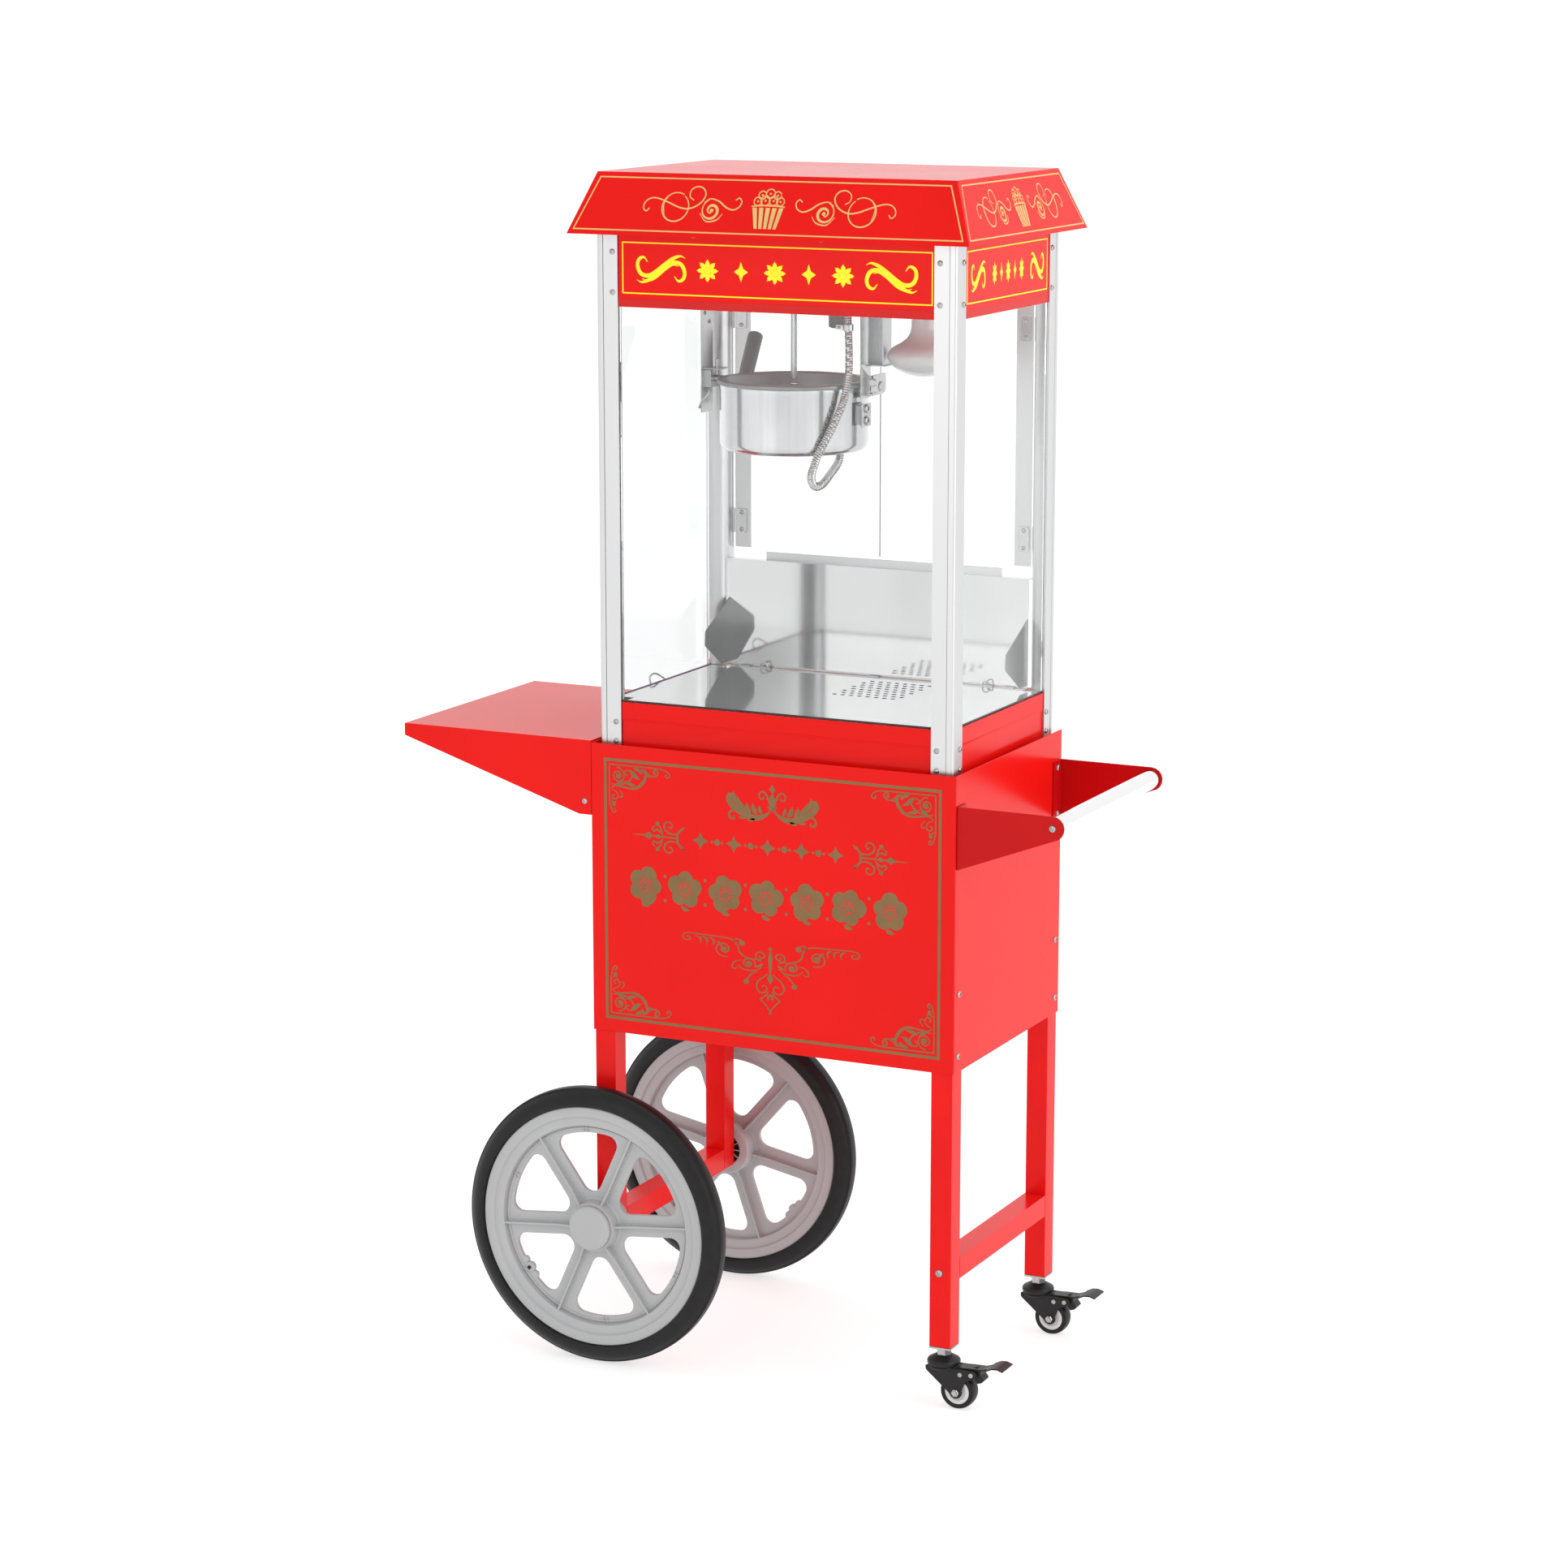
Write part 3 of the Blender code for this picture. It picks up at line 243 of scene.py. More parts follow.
# ------------------------------------------------------------------ shape helpers
def turned(axis, centre):
    """Places a shape's own Z along a row axis: 'x', 'y', 'z', or minus one of them."""
    turns = {"z": Matrix.Identity(4),
             "-z": Matrix.Rotation(math.pi, 4, "X"),
             "y": Matrix.Rotation(-PI_HALF, 4, "X"),
             "-y": Matrix.Rotation(PI_HALF, 4, "X"),
             "x": Matrix.Rotation(PI_HALF, 4, "Y"),
             "-x": Matrix.Rotation(-PI_HALF, 4, "Y")}
    return Matrix.Translation(centre) @ turns[axis]


def counter_clockwise(points):
    area = sum(a[0] * b[1] - b[0] * a[1] for a, b in zip(points, points[1:] + points[:1]))
    return list(points) if area > 0 else list(reversed(points))


class Piece:
    """Collects the closed shells of one visible piece."""

    def __init__(self):
        self.bm = bmesh.new()

    def shell(self, verts, faces, place=Matrix.Identity(4)):
        made = [self.bm.verts.new(place @ Vector(v)) for v in verts]
        flip = place.determinant() < 0
        for face in faces:
            loop = [made[i] for i in face]
            self.bm.faces.new(loop[::-1] if flip else loop)
        return self

    def lathe(self, profile, place, count=64):
        """Turns a closed outline of (radius, height) pairs about the place's own Z."""
        verts, rings, faces = [], [], []
        for radius, height in counter_clockwise(profile):
            ring = []
            for k in range(count if radius > 0 else 1):
                angle = TAU * k / count
                ring.append(len(verts))
                verts.append((radius * math.cos(angle), radius * math.sin(angle), height))
            rings.append(ring)
        for one, two in zip(rings, rings[1:] + rings[:1]):
            if len(one) == 1 and len(two) == 1:
                continue
            for k in range(count):
                m = (k + 1) % count
                loop = [one[k % len(one)], one[m % len(one)], two[m % len(two)], two[k % len(two)]]
                faces.append(list(dict.fromkeys(loop)))
        return self.shell(verts, faces, place)

    def slab(self, outline, low, high, place=Matrix.Identity(4)):
        """An outline of (u, v) pairs with thickness from low to high along the place's Z."""
        points = counter_clockwise(list(outline))
        n = len(points)
        verts = [(u, v, low) for u, v in points] + [(u, v, high) for u, v in points]
        faces = [list(range(n))[::-1], list(range(n, 2 * n))]
        faces += [[i, (i + 1) % n, n + (i + 1) % n, n + i] for i in range(n)]
        return self.shell(verts, faces, place)

    def block(self, low, high):
        outline = [(low[0], low[1]), (high[0], low[1]), (high[0], high[1]), (low[0], high[1])]
        return self.slab(outline, low[2], high[2])

    def bar(self, centre, axis, radius, length, count=24, chamfer=0.0):
        """A round bar that starts at centre and runs along an axis."""
        c = chamfer
        profile = [(0, 0), (radius - c, 0), (radius, c), (radius, length - c), (radius - c, length),
                   (0, length)]
        if not c:
            profile = [(0, 0), (radius, 0), (radius, length), (0, length)]
        return self.lathe(profile, turned(axis, centre), count)

    def tube(self, path, radius, sides=16):
        """A round bar along a path; radius is a number or a function of (distance, angle)."""
        points = [Vector(p) for p in path]
        size = radius if callable(radius) else lambda distance, angle: radius
        verts, faces = [], []
        side = Vector((1, 0, 0))
        travelled = 0.0
        for i, point in enumerate(points):
            if i:
                travelled += (point - points[i - 1]).length
            ahead = (points[min(i + 1, len(points) - 1)] - points[max(i - 1, 0)]).normalized()
            side = (side - ahead * side.dot(ahead)).normalized()
            up = ahead.cross(side)
            for k in range(sides):
                angle = TAU * k / sides
                r = size(travelled, angle)
                verts.append(point + side * (r * math.cos(angle)) + up * (r * math.sin(angle)))
        last = len(points) - 1
        faces.append(list(range(sides))[::-1])
        for i in range(last):
            for k in range(sides):
                m = (k + 1) % sides
                faces.append([i * sides + k, i * sides + m, (i + 1) * sides + m, (i + 1) * sides + k])
        faces.append([last * sides + k for k in range(sides)])
        return self.shell(verts, faces)

    def done(self, name, mat, body, slot, bevel=0.0, sharp=32, replaces=None):
        """Makes the object, which rides the body and may stand for a CAD node."""
        mesh = bpy.data.meshes.new(name)
        self.bm.to_mesh(mesh)
        self.bm.free()
        mesh.materials.append(mat)
        mesh.shade_smooth()
        mesh.set_sharp_from_angle(angle=math.radians(sharp))
        obj = bpy.data.objects.new(name, mesh)
        bpy.context.scene.collection.objects.link(obj)
        if bevel:
            soften(obj, bevel, weld=False)
        if body:
            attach(obj, body)
        if replaces:
            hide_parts(replaces)
        return obj


def mirrored(half):
    """A half outline of (u, v) pairs, completed by its reflection in v."""
    return half + [(u, -v) for u, v in reversed(half)]


def upright_plane(x=0.0, y=0.0):
    """A drawing surface that stands in X and Z, with its thickness along Y."""
    return Matrix(((1, 0, 0, x), (0, 0, 1, y), (0, 1, 0, 0), (0, 0, 0, 1)))


def soften(obj, width, weld=True):
    """Rounds an object's sharp edges by a small width."""
    if weld:
        join = obj.modifiers.new("join", "WELD")
        join.merge_threshold = 0.00001
    edge = obj.modifiers.new("edge", "BEVEL")
    edge.width = width
    edge.segments = 2
    edge.limit_method = "ANGLE"
    edge.angle_limit = math.radians(35)
    edge.use_clamp_overlap = True
    even = obj.modifiers.new("even", "WEIGHTED_NORMAL")
    even.keep_sharp = not weld
    even.weight = 60


def dress(node, mat, width=0.0):
    """Gives a CAD node its finish, smooth shading and softened edges."""
    obj = NODES[node]
    obj.data.materials[0] = mat
    for face in obj.data.polygons:
        face.use_smooth = True
    if width:
        soften(obj, width)


def smooth_path(points, steps=8):
    """Points on one even curve through the given ones."""
    pts = [Vector(p) for p in points]
    pts = [pts[0] * 2 - pts[1]] + pts + [pts[-1] * 2 - pts[-2]]
    made = []
    for i in range(1, len(pts) - 2):
        a, b, c, d = pts[i - 1:i + 3]
        for k in range(steps):
            t = k / steps
            made.append(0.5 * ((2 * b) + (c - a) * t + (2 * a - 5 * b + 4 * c - d) * t * t
                               + (3 * b - a - 3 * c + d) * t ** 3))
    made.append(pts[-2])
    return made


# ------------------------------------------------------------------ the kettle's hanging conduit
CONDUIT_ROUTE = [(0.0435, -0.036, 1.3915), (0.0435, -0.036, 1.37), (0.0448, -0.0372, 1.35),
                 (0.0467, -0.0393, 1.325), (0.0477, -0.0421, 1.3), (0.0466, -0.0464, 1.28),
                 (0.0431, -0.0513, 1.26), (0.037, -0.0592, 1.24), (0.0299, -0.0671, 1.22),
                 (0.0215, -0.0743, 1.2), (0.0145, -0.075, 1.182), (0.0095, -0.0715, 1.169),
                 (0.008, -0.0635, 1.159), (0.0095, -0.053, 1.1548), (0.013, -0.043, 1.158),
                 (0.0162, -0.0335, 1.166), (0.0188, -0.025, 1.1735), (0.0205, -0.0182, 1.1792),
                 (0.0212, -0.0132, 1.1848), (0.0213, -0.0112, 1.1897), (0.0213, -0.011, 1.1931)]
CONDUIT_R = 0.0048


def make_conduit():
    """Corrugated metal conduit from the ceiling down to the underside of the pot."""
    route = smooth_path([(x + MID_X, y, z) for x, y, z in CONDUIT_ROUTE], 20)
    pitch, depth = 0.003, 0.00075

    def ribbed(distance, angle):
        return CONDUIT_R + depth * math.cos(TAU * distance / pitch - angle)

    piece = Piece()
    piece.tube(route, ribbed, 16)
    cable = piece.done("kettle_conduit", CONDUIT, None, "cable_grey", sharp=60)
    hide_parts("kettle_cable")
    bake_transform(cable)


make_conduit()


# ------------------------------------------------------------------ screws
def screw_shell():
    """A pan head with a cross recess: unit radius, standing up from z = 0."""
    head = Piece()
    profile = [(0, -0.25), (0.98, -0.25), (1.0, 0.16)]
    profile += [(math.cos(a), 0.16 + 0.42 * math.sin(a)) for a in (0.35, 0.7, 1.05, 1.35)] + [(0, 0.58)]
    head.lathe(profile, Matrix.Identity(4), 24)
    cross = Piece()
    cross.block((-0.62, -0.13, 0.22), (0.62, 0.13, 1.0))
    cross.block((-0.13, -0.62, 0.221), (0.13, 0.62, 1.001))
    made = []
    for piece in (head, cross):
        mesh = bpy.data.meshes.new("screw")
        piece.bm.to_mesh(mesh)
        piece.bm.free()
        obj = bpy.data.objects.new("screw", mesh)
        bpy.context.scene.collection.objects.link(obj)
        made.append(obj)
    recess = made[0].modifiers.new("recess", "BOOLEAN")
    recess.operation = "DIFFERENCE"
    recess.solver = "EXACT"
    recess.use_self = True
    recess.object = made[1]
    bpy.context.view_layer.update()
    result = made[0].evaluated_get(bpy.context.evaluated_depsgraph_get()).to_mesh()
    verts = [v.co.copy() for v in result.vertices]
    faces = [list(p.vertices) for p in result.polygons]
    for obj in made:
        bpy.data.objects.remove(obj, do_unlink=True)
    return verts, faces


SCREW = screw_shell()


def screws(name, places, radius, body, slot="zinc", mat=ZINC):
    """One piece of screw heads; each place is (point, axis the head faces, turn in degrees)."""
    piece = Piece()
    for point, axis, turn in places:
        place = turned(axis, point) @ Matrix.Rotation(math.radians(turn), 4, "Z") @ Matrix.Scale(radius, 4)
        piece.shell(*SCREW, place)
    return piece.done(name, mat, body, slot, sharp=40)


# ------------------------------------------------------------------ printed ornament
def plane(origin, across, up):
    """A drawing surface in millimetres: across and up are directions, outward follows."""
    u, v = Vector(across).normalized(), Vector(up).normalized()
    n = u.cross(v)
    place = Matrix((u, v, n)).transposed().to_4x4()
    return Matrix.Translation(origin) @ place @ Matrix.Scale(MM, 4)


INK_LIFT = 0.04
INK_DEEP = 0.1
INK_STEP = 0.012


FASCIA_MIDDLE_Z = 1431        # heights and pitches of the printed rows, in millimetres
STAR_ROW_Z = 708.5
STAR_PITCH = 47.6
CORN_ROW_Z = 641
CORN_PITCH = 57.6


class Ink:
    """Flat printed shapes on a drawing surface, in millimetres."""

    def __init__(self, place, piece=None, count=None):
        self.place = place
        self.piece = piece or Piece()
        self.count = count if count is not None else [0]

    def at(self, x, y, sx=1.0, sy=1.0, turn=0.0):
        local = Matrix.Translation((x, y, 0)) @ Matrix.Rotation(math.radians(turn), 4, "Z")
        return Ink(self.place @ local @ Matrix.Diagonal((sx, sy, 1, 1)), self.piece, self.count)

    def height(self):
        self.count[0] = (self.count[0] + 1) % 9
        return INK_LIFT + INK_DEEP + INK_STEP * self.count[0]

    def stroke(self, points, *widths):
        """A line whose width goes evenly through the given widths from start to end."""
        pts = [Vector((p[0], p[1])) for p in points]
        top = self.height()
        n = len(pts)
        verts, faces = [], []
        for i, p in enumerate(pts):
            ahead = (pts[min(i + 1, n - 1)] - pts[max(i - 1, 0)]).normalized()
            side = Vector((-ahead.y, ahead.x))
            t = i / (n - 1) * (len(widths) - 1)
            k = min(int(t), len(widths) - 2) if len(widths) > 1 else 0
            blend = t - k
            blend = blend * blend * (3 - 2 * blend)
            w = widths[k] if len(widths) == 1 else widths[k] * (1 - blend) + widths[k + 1] * blend
            left, right = p + side * w / 2, p - side * w / 2
            verts += [(*left, INK_LIFT), (*right, INK_LIFT), (*right, top), (*left, top)]
        for i in range(n - 1):
            a, b = 4 * i, 4 * (i + 1)
            for k in range(4):
                m = (k + 1) % 4
                faces.append([a + k, b + k, b + m, a + m])
        faces += [[0, 1, 2, 3], [4 * n - 1, 4 * n - 2, 4 * n - 3, 4 * n - 4]]
        self.piece.shell(verts, faces, self.place)

    def shape(self, outline):
        self.piece.slab(outline, INK_LIFT, self.height(), self.place)

    def dot(self, x, y, r):
        sides = 18
        self.shape([(x + r * math.cos(TAU * k / sides), y + r * math.sin(TAU * k / sides))
                    for k in range(sides)])

    def leaf(self, x0, y0, x1, y1, width, bend=0.0):
        """A pointed leaf from one point to another, bowed sideways by bend."""
        a, b = Vector((x0, y0)), Vector((x1, y1))
        side = Vector((a.y - b.y, b.x - a.x)).normalized()
        pts = [a + (b - a) * t + side * (4 * bend * t * (1 - t)) for t in [i / 10 for i in range(11)]]
        self.stroke(pts, 0.3, width, width * 0.8, 0.3)

    def line(self, points, *widths, steps=6):
        self.stroke([(p.x, p.y) for p in smooth_path([(x, y, 0) for x, y in points], steps)], *widths)


def spiral(x, y, r0, r1, start, turns):
    """Points that wind about (x, y) from radius r0 to r1, from an angle in degrees."""
    n = max(10, int(abs(turns) * 30))
    pts = []
    for i in range(n + 1):
        t = i / n
        r = r0 + (r1 - r0) * t ** 0.85
        a = math.radians(start) + TAU * turns * t
        pts.append((x + r * math.cos(a), y + r * math.sin(a)))
    return pts


def frame_line(ink, x0, y0, x1, y1, width):
    """A rectangular border."""
    for low, high in (((x0, y0), (x1, y0 + width)), ((x0, y1 - width), (x1, y1)),
                      ((x0, y0 + width), (x0 + width, y1 - width)),
                      ((x1 - width, y0 + width), (x1, y1 - width))):
        ink.piece.slab([low, (high[0], low[1]), high, (low[0], high[1])], INK_LIFT, INK_LIFT + INK_DEEP,
                       ink.place)


def quad_line(ink, corners, width):
    """A border that follows four corners, such as a sloped roof face's."""
    centre = sum((Vector(c) for c in corners), Vector((0, 0))) / 4
    inner = []
    n = len(corners)
    for i in range(n):
        p, before, after = (Vector(corners[j % n]) for j in (i, i - 1, i + 1))
        d1, d2 = (p - before).normalized(), (after - p).normalized()
        n1, n2 = Vector((-d1.y, d1.x)), Vector((-d2.y, d2.x))
        if n1.dot(centre - p) < 0:
            n1, n2 = -n1, -n2
        inward = (n1 + n2).normalized()
        inner.append(p + inward * (width / max(0.3, inward.dot(n1))))
    for i in range(n):
        j = (i + 1) % n
        outline = [tuple(corners[i]), tuple(corners[j]), tuple(inner[j]), tuple(inner[i])]
        ink.piece.slab(outline, INK_LIFT, INK_LIFT + INK_DEEP, ink.place)


def corner_scroll(ink):
    """Filigree for one corner: x runs along the top edge, y down the side edge."""
    ink.line([(0, 0), (30, 0), (60, 0), (74, 1), (81, 4), (83, 8), (80, 10.5), (77.4, 8.4), (79, 6.6)], 1.6,
             1.4, 1.8)
    ink.line([(0, 0), (0, 20), (0, 42), (1, 50), (3, 57), (6.4, 60), (8.4, 57.4), (6.6, 55), (5, 56.4)],
             1.6, 1.4, 1.8)
    ink.stroke(spiral(12, 13, 10, 2.2, -100, 1.7), 1.5, 1.5, 2.4)
    ink.dot(12, 13, 2.6)
    ink.line([(2.5, 30), (8, 26), (20, 27), (32, 28), (42, 24), (49, 15), (50, 7), (46, 3.5), (42, 6),
              (44, 9)], 1.0, 2.0, 4.2, 2.4, 1.2)
    ink.line([(3, 24), (14, 24.5), (24, 21), (31, 14), (29, 7), (23, 6), (21, 10), (25, 12)], 1.0, 2.0, 1.4,
             1.6)
    ink.leaf(28, 4, 43, 16, 6.0, 1.6)
    ink.leaf(33, 2.5, 47, 8, 4.4, -1.0)
    ink.leaf(21, 19, 37, 24, 4.6, 1.4)
    ink.leaf(8, 25, 20, 18, 3.4, 1.0)
    ink.line([(49, 3), (55, 9), (62, 10.5), (67, 7), (66, 3), (62, 2.4), (60.6, 5)], 1.0, 1.7, 1.4)
    ink.dot(62.3, 6.4, 1.9)
    ink.leaf(50, 9, 58, 11, 2.6, 0.8)
    ink.line([(4, 31), (10, 34), (12, 39), (9, 43), (5, 42), (4.4, 38.6), (7, 37.6)], 1.0, 1.7, 1.3)
    ink.line([(2, 44), (5, 47), (9.5, 46)], 0.9, 1.6, 0.9)
    ink.dot(6.2, 49.6, 2.6)
    ink.line([(14, 32), (18, 36), (17, 40), (13.5, 39.6)], 1.0, 1.5, 1.0)


def crown(ink):
    """A palmette between two acanthus branches; the origin is the middle of its foot."""
    ink.leaf(0, 2, 0, 28, 8.5)
    ink.shape([(0, 26), (4.4, 31), (0, 38), (-4.4, 31)])
    for s in (-1, 1):
        half = ink.at(0, 0, s, 1)
        half.line([(1.5, 4), (4, 12), (5.5, 19), (9, 25), (14, 27.5), (18.4, 24), (17, 18.6), (12.6, 18.4),
                   (12.4, 21.4)], 1.2, 2.4, 2.0, 1.6)
        half.leaf(1.5, 16, 9, 19, 3.0, 0.8)
        half.leaf(1, 3, 7, 9, 3.4, 0.6)
        half.line([(3, 3), (12, -4), (24, -7), (38, -4), (50, 2), (58, 8), (62, 15), (57, 20), (51, 18)],
                  2.5, 7.5, 8.5, 7.0, 2.2)
        for x, y, dx, dy, w in ((14, -2, 4, 12, 5.0), (21, -3, 7, 15, 6.4), (30, -3, 6, 15, 6.4),
                                (37, 0, 9, 14, 6.2), (44, 4, 5, 15, 6.0), (50, 8, 4, 17, 6.2),
                                (56, 10, 6, 13, 5.4)):
            half.leaf(x, y, x + dx, y + dy, w, -1.6)
        half.line([(47, 2), (56, 0), (61, -5), (58.6, -11), (53.6, -10), (54.4, -6.6)], 2.4, 3.0, 1.6)
        half.leaf(24, -8, 36, -11, 4.0, -1.0)
        half.leaf(36, -7, 48, -8, 4.0, -1.0)


def side_flourish(ink):
    """A spear with volutes; it points along +x from a bracket at x = 0."""
    ink.line([(-1.5, -15), (4, -12), (8, -6), (9.2, 0), (8, 6), (4, 12), (-1.5, 15)], 1.2, 2.0, 3.2, 2.0,
             1.2)
    ink.line([(8, 0), (26, 0), (46, 0)], 2.4, 1.6, 2.0)
    ink.shape([(44, 0), (50, 4.6), (56, 1.4), (56, -1.4), (50, -4.6)])
    ink.line([(54, 0), (64, 0), (73, 0)], 2.4, 1.1, 0.5)
    ink.leaf(32, 0, 42, 0, 5.4)
    for s in (-1, 1):
        half = ink.at(0, 0, 1, s)
        half.line([(5, 9), (12, 5), (20, 5.4), (27, 10), (27.4, 17), (21.4, 20.4), (16.4, 17), (18, 12.6),
                   (21.4, 13.6)], 1.6, 2.2, 1.8, 1.6)
        half.line([(29, 1), (33, 6), (38, 8.6), (43, 7), (44.6, 10.6), (41, 13.6)], 1.2, 2.2, 1.4)
        half.line([(30, 2), (33, 11), (36.4, 15)], 1.0, 1.8, 1.4)
        half.dot(37.4, 16.6, 2.9)
        half.leaf(-1.4, 15, 5, 9, 2.6)


def lower_flourish(ink):
    """A wide bracket of scrolls that narrows to a drop; the origin is its top middle, y down."""
    ink.leaf(0, 12, 0, 58, 6.0)
    ink.dot(0, 12, 3.0)
    ink.shape([(0, 54), (4.6, 62), (0, 72), (-4.6, 62)])
    ink.dot(0, 121, 2.4)
    for s in (-1, 1):
        half = ink.at(0, 0, s, 1)
        half.line([(119, 12), (123, 10.4), (125, 6), (122, 1), (114, -0.6), (90, 0), (64, 0.6), (52, 4),
                   (46, 12), (44, 22), (36, 29), (24, 32), (12, 31)], 1.6, 1.7, 1.7, 1.8, 2.2, 1.4)
        half.line([(119, 12), (114.6, 10), (115.6, 5.6), (119.6, 6)], 1.6, 1.8, 1.3)
        for k in range(3):
            x = 104 - 9.4 * k
            half.line([(x + 3, 3.4), (x - 3, 5), (x - 5, 10), (x - 3.4, 15 + k)], 1.0, 3.0, 0.8)
        half.stroke(spiral(66, 20, 14, 3.4, 115, -1.35), 1.6, 2.0, 1.8)
        half.dot(66, 20, 4.2)
        half.leaf(76, 8, 68, 19, 3.4, 1.2)
        half.dot(40, 7, 4.3)
        half.line([(40, 3), (47, 0.5), (51, 5), (47, 12)], 1.2, 1.7, 1.0)
        half.stroke(spiral(13, 25, 9.4, 2.4, 95, -1.3), 1.5, 2.0, 1.5)
        half.stroke(spiral(31, 40, 10.5, 3.0, 150, 1.35), 1.5, 1.9, 1.5)
        half.dot(31, 40, 3.8)
        half.line([(41, 36), (48, 38), (53, 43), (54, 49), (50, 51.6), (47.4, 48.6)], 1.2, 1.8, 1.3)
        half.line([(12, 44), (20, 50), (30, 52), (40, 50), (46, 44)], 1.2, 2.2, 1.2)
        half.leaf(10, 37, 22, 45, 4.0, 1.4)
        half.line([(18, 51), (26, 57), (31, 64), (34, 69)], 1.2, 2.2, 1.6)
        half.dot(34, 71.6, 4.1)
        half.line([(3, 54), (9, 60), (17, 68), (19.6, 78), (15, 86.6), (7.4, 86), (4.6, 79), (8.6, 74.6),
                   (12, 77.6)], 1.4, 2.2, 1.8, 1.6)
        half.line([(3, 84), (6, 91), (11, 96), (13.6, 99), (8.4, 105), (3, 113), (0, 118)], 1.4, 1.9, 2.0,
                  1.4)
        half.leaf(0, 88, 3.6, 101, 3.4, -1.0)


def popped_corn(ink, lean):
    """One popped kernel as five round lobes about a middle, with a small hull at its foot."""
    for k in range(5):
        a = math.radians(18 + 72 * k + lean)
        ink.dot(13.2 * math.cos(a), 13.6 * math.sin(a) + 1.5, 11.2 + 1.1 * math.sin(2.3 * k + lean))
    ink.dot(0, 1.5, 12)
    ink.leaf(-6, -20, 7, -25, 6.0, -2.0)


def popped_creases(ink, lean):
    """The creases between a popped kernel's lobes."""
    for k in range(5):
        a = 18 + 72 * k + lean
        cx, cy = 13.2 * math.cos(math.radians(a)), 13.6 * math.sin(math.radians(a)) + 1.5
        ink.stroke(spiral(cx, cy, 7.0, 6.4, a + 118, 0.36), 0.4, 1.7, 0.4)
    ink.stroke(spiral(0.6, 1.5, 4.6, 3.6, lean, 0.6), 0.4, 1.6, 0.4)


def lozenge(ink, x, y, w, h):
    """A four-pointed star, w and h from its middle to its points."""
    pts = [(x - w, y), (x - w * 0.3, y + h * 0.34), (x, y + h), (x + w * 0.3, y + h * 0.34),
           (x + w, y), (x + w * 0.3, y - h * 0.34), (x, y - h), (x - w * 0.3, y - h * 0.34)]
    ink.shape(pts)


def rosette(ink, x, y, r, petals=8):
    """A ring of pointed petals about a dot."""
    for k in range(petals):
        a = TAU * k / petals
        ink.leaf(x + 0.18 * r * math.cos(a), y + 0.18 * r * math.sin(a), x + r * math.cos(a),
                 y + r * math.sin(a), 0.46 * r)
    ink.dot(x, y, 0.28 * r)


def popcorn_tub(ink):
    """A plain striped tub with popped corn on it, 46 mm wide; its foot is at y = 0."""
    for k in range(5):
        x0, x1 = -15 + 6.4 * k, -15 + 6.4 * k + 4.2
        t0, t1 = x0 * 1.42, x1 * 1.42
        ink.shape([(x0, 0), (x1, 0), (t1, 27), (t0, 27)])
    ink.line([(-22.6, 28.4), (-12, 29.4), (0, 29.7), (12, 29.4), (22.6, 28.4)], 1.5)
    for x, y, r in ((-15, 35, 5.4), (-5, 36, 6.2), (6, 36, 5.8), (15.6, 35, 5.2), (-10, 43, 5.2),
                    (0.6, 45, 6.0), (10.6, 43, 5.0)):
        ink.stroke(spiral(x, y, r, r, 20, 0.97), 1.4)
        ink.dot(x, y, 1.3)


def roof_scroll(ink):
    """A long scroll with two loops; x runs from its outer tail to its inner curl."""
    ink.line([(9, -3), (5, -7), (0.6, -3), (1.6, 4), (8, 9.4), (18, 10), (34, 5), (50, -1), (62, -2.6),
              (73, 1), (81, 8), (84, 17), (79, 24.6), (70, 26), (63, 21), (63, 13), (69, 8.6)], 1.4, 1.6,
             1.9, 1.7, 1.2)
    ink.stroke(spiral(45, -1, 19, 18, 60, 0.98), 1.3, 1.9, 1.3)
    ink.line([(33, 13), (28, 3), (31, -12)], 0.8, 1.4, 0.8)
    ink.stroke(spiral(95, -4, 14.5, 3.2, 110, 1.45), 1.2, 3.6, 1.6)
    ink.dot(95.6, -4, 2.4)
    ink.line([(84, 6), (92, 11), (104, 8), (114, 1), (124, -2.4), (132, 1), (135, 8), (131, 13),
              (126.6, 10)], 1.2, 2.0, 1.6, 1.4)
    ink.line([(80, -8), (90, -18), (104, -16), (111, -8)], 0.8, 1.8, 0.8)


def twin_scroll(ink):
    """A bold S of two lobes with tapering tails, about 66 mm wide."""
    for s in (-1, 1):
        half = ink.at(0, 0, s, s)
        half.line([(-19, 9), (-24, 15), (-31, 12), (-33, 3), (-28, -7), (-17, -9), (-6, -3), (5, 6),
                   (16, 14), (27, 18), (34, 15.4)], 1.2, 4.6, 5.4, 5.8, 4.6, 0.8)
    ink.line([(-27, -13.6), (-18, -15.6), (-7, -10.6), (6, 0), (16, 6), (24, 4.6)], 0.8, 3.8, 3.2, 0.8)


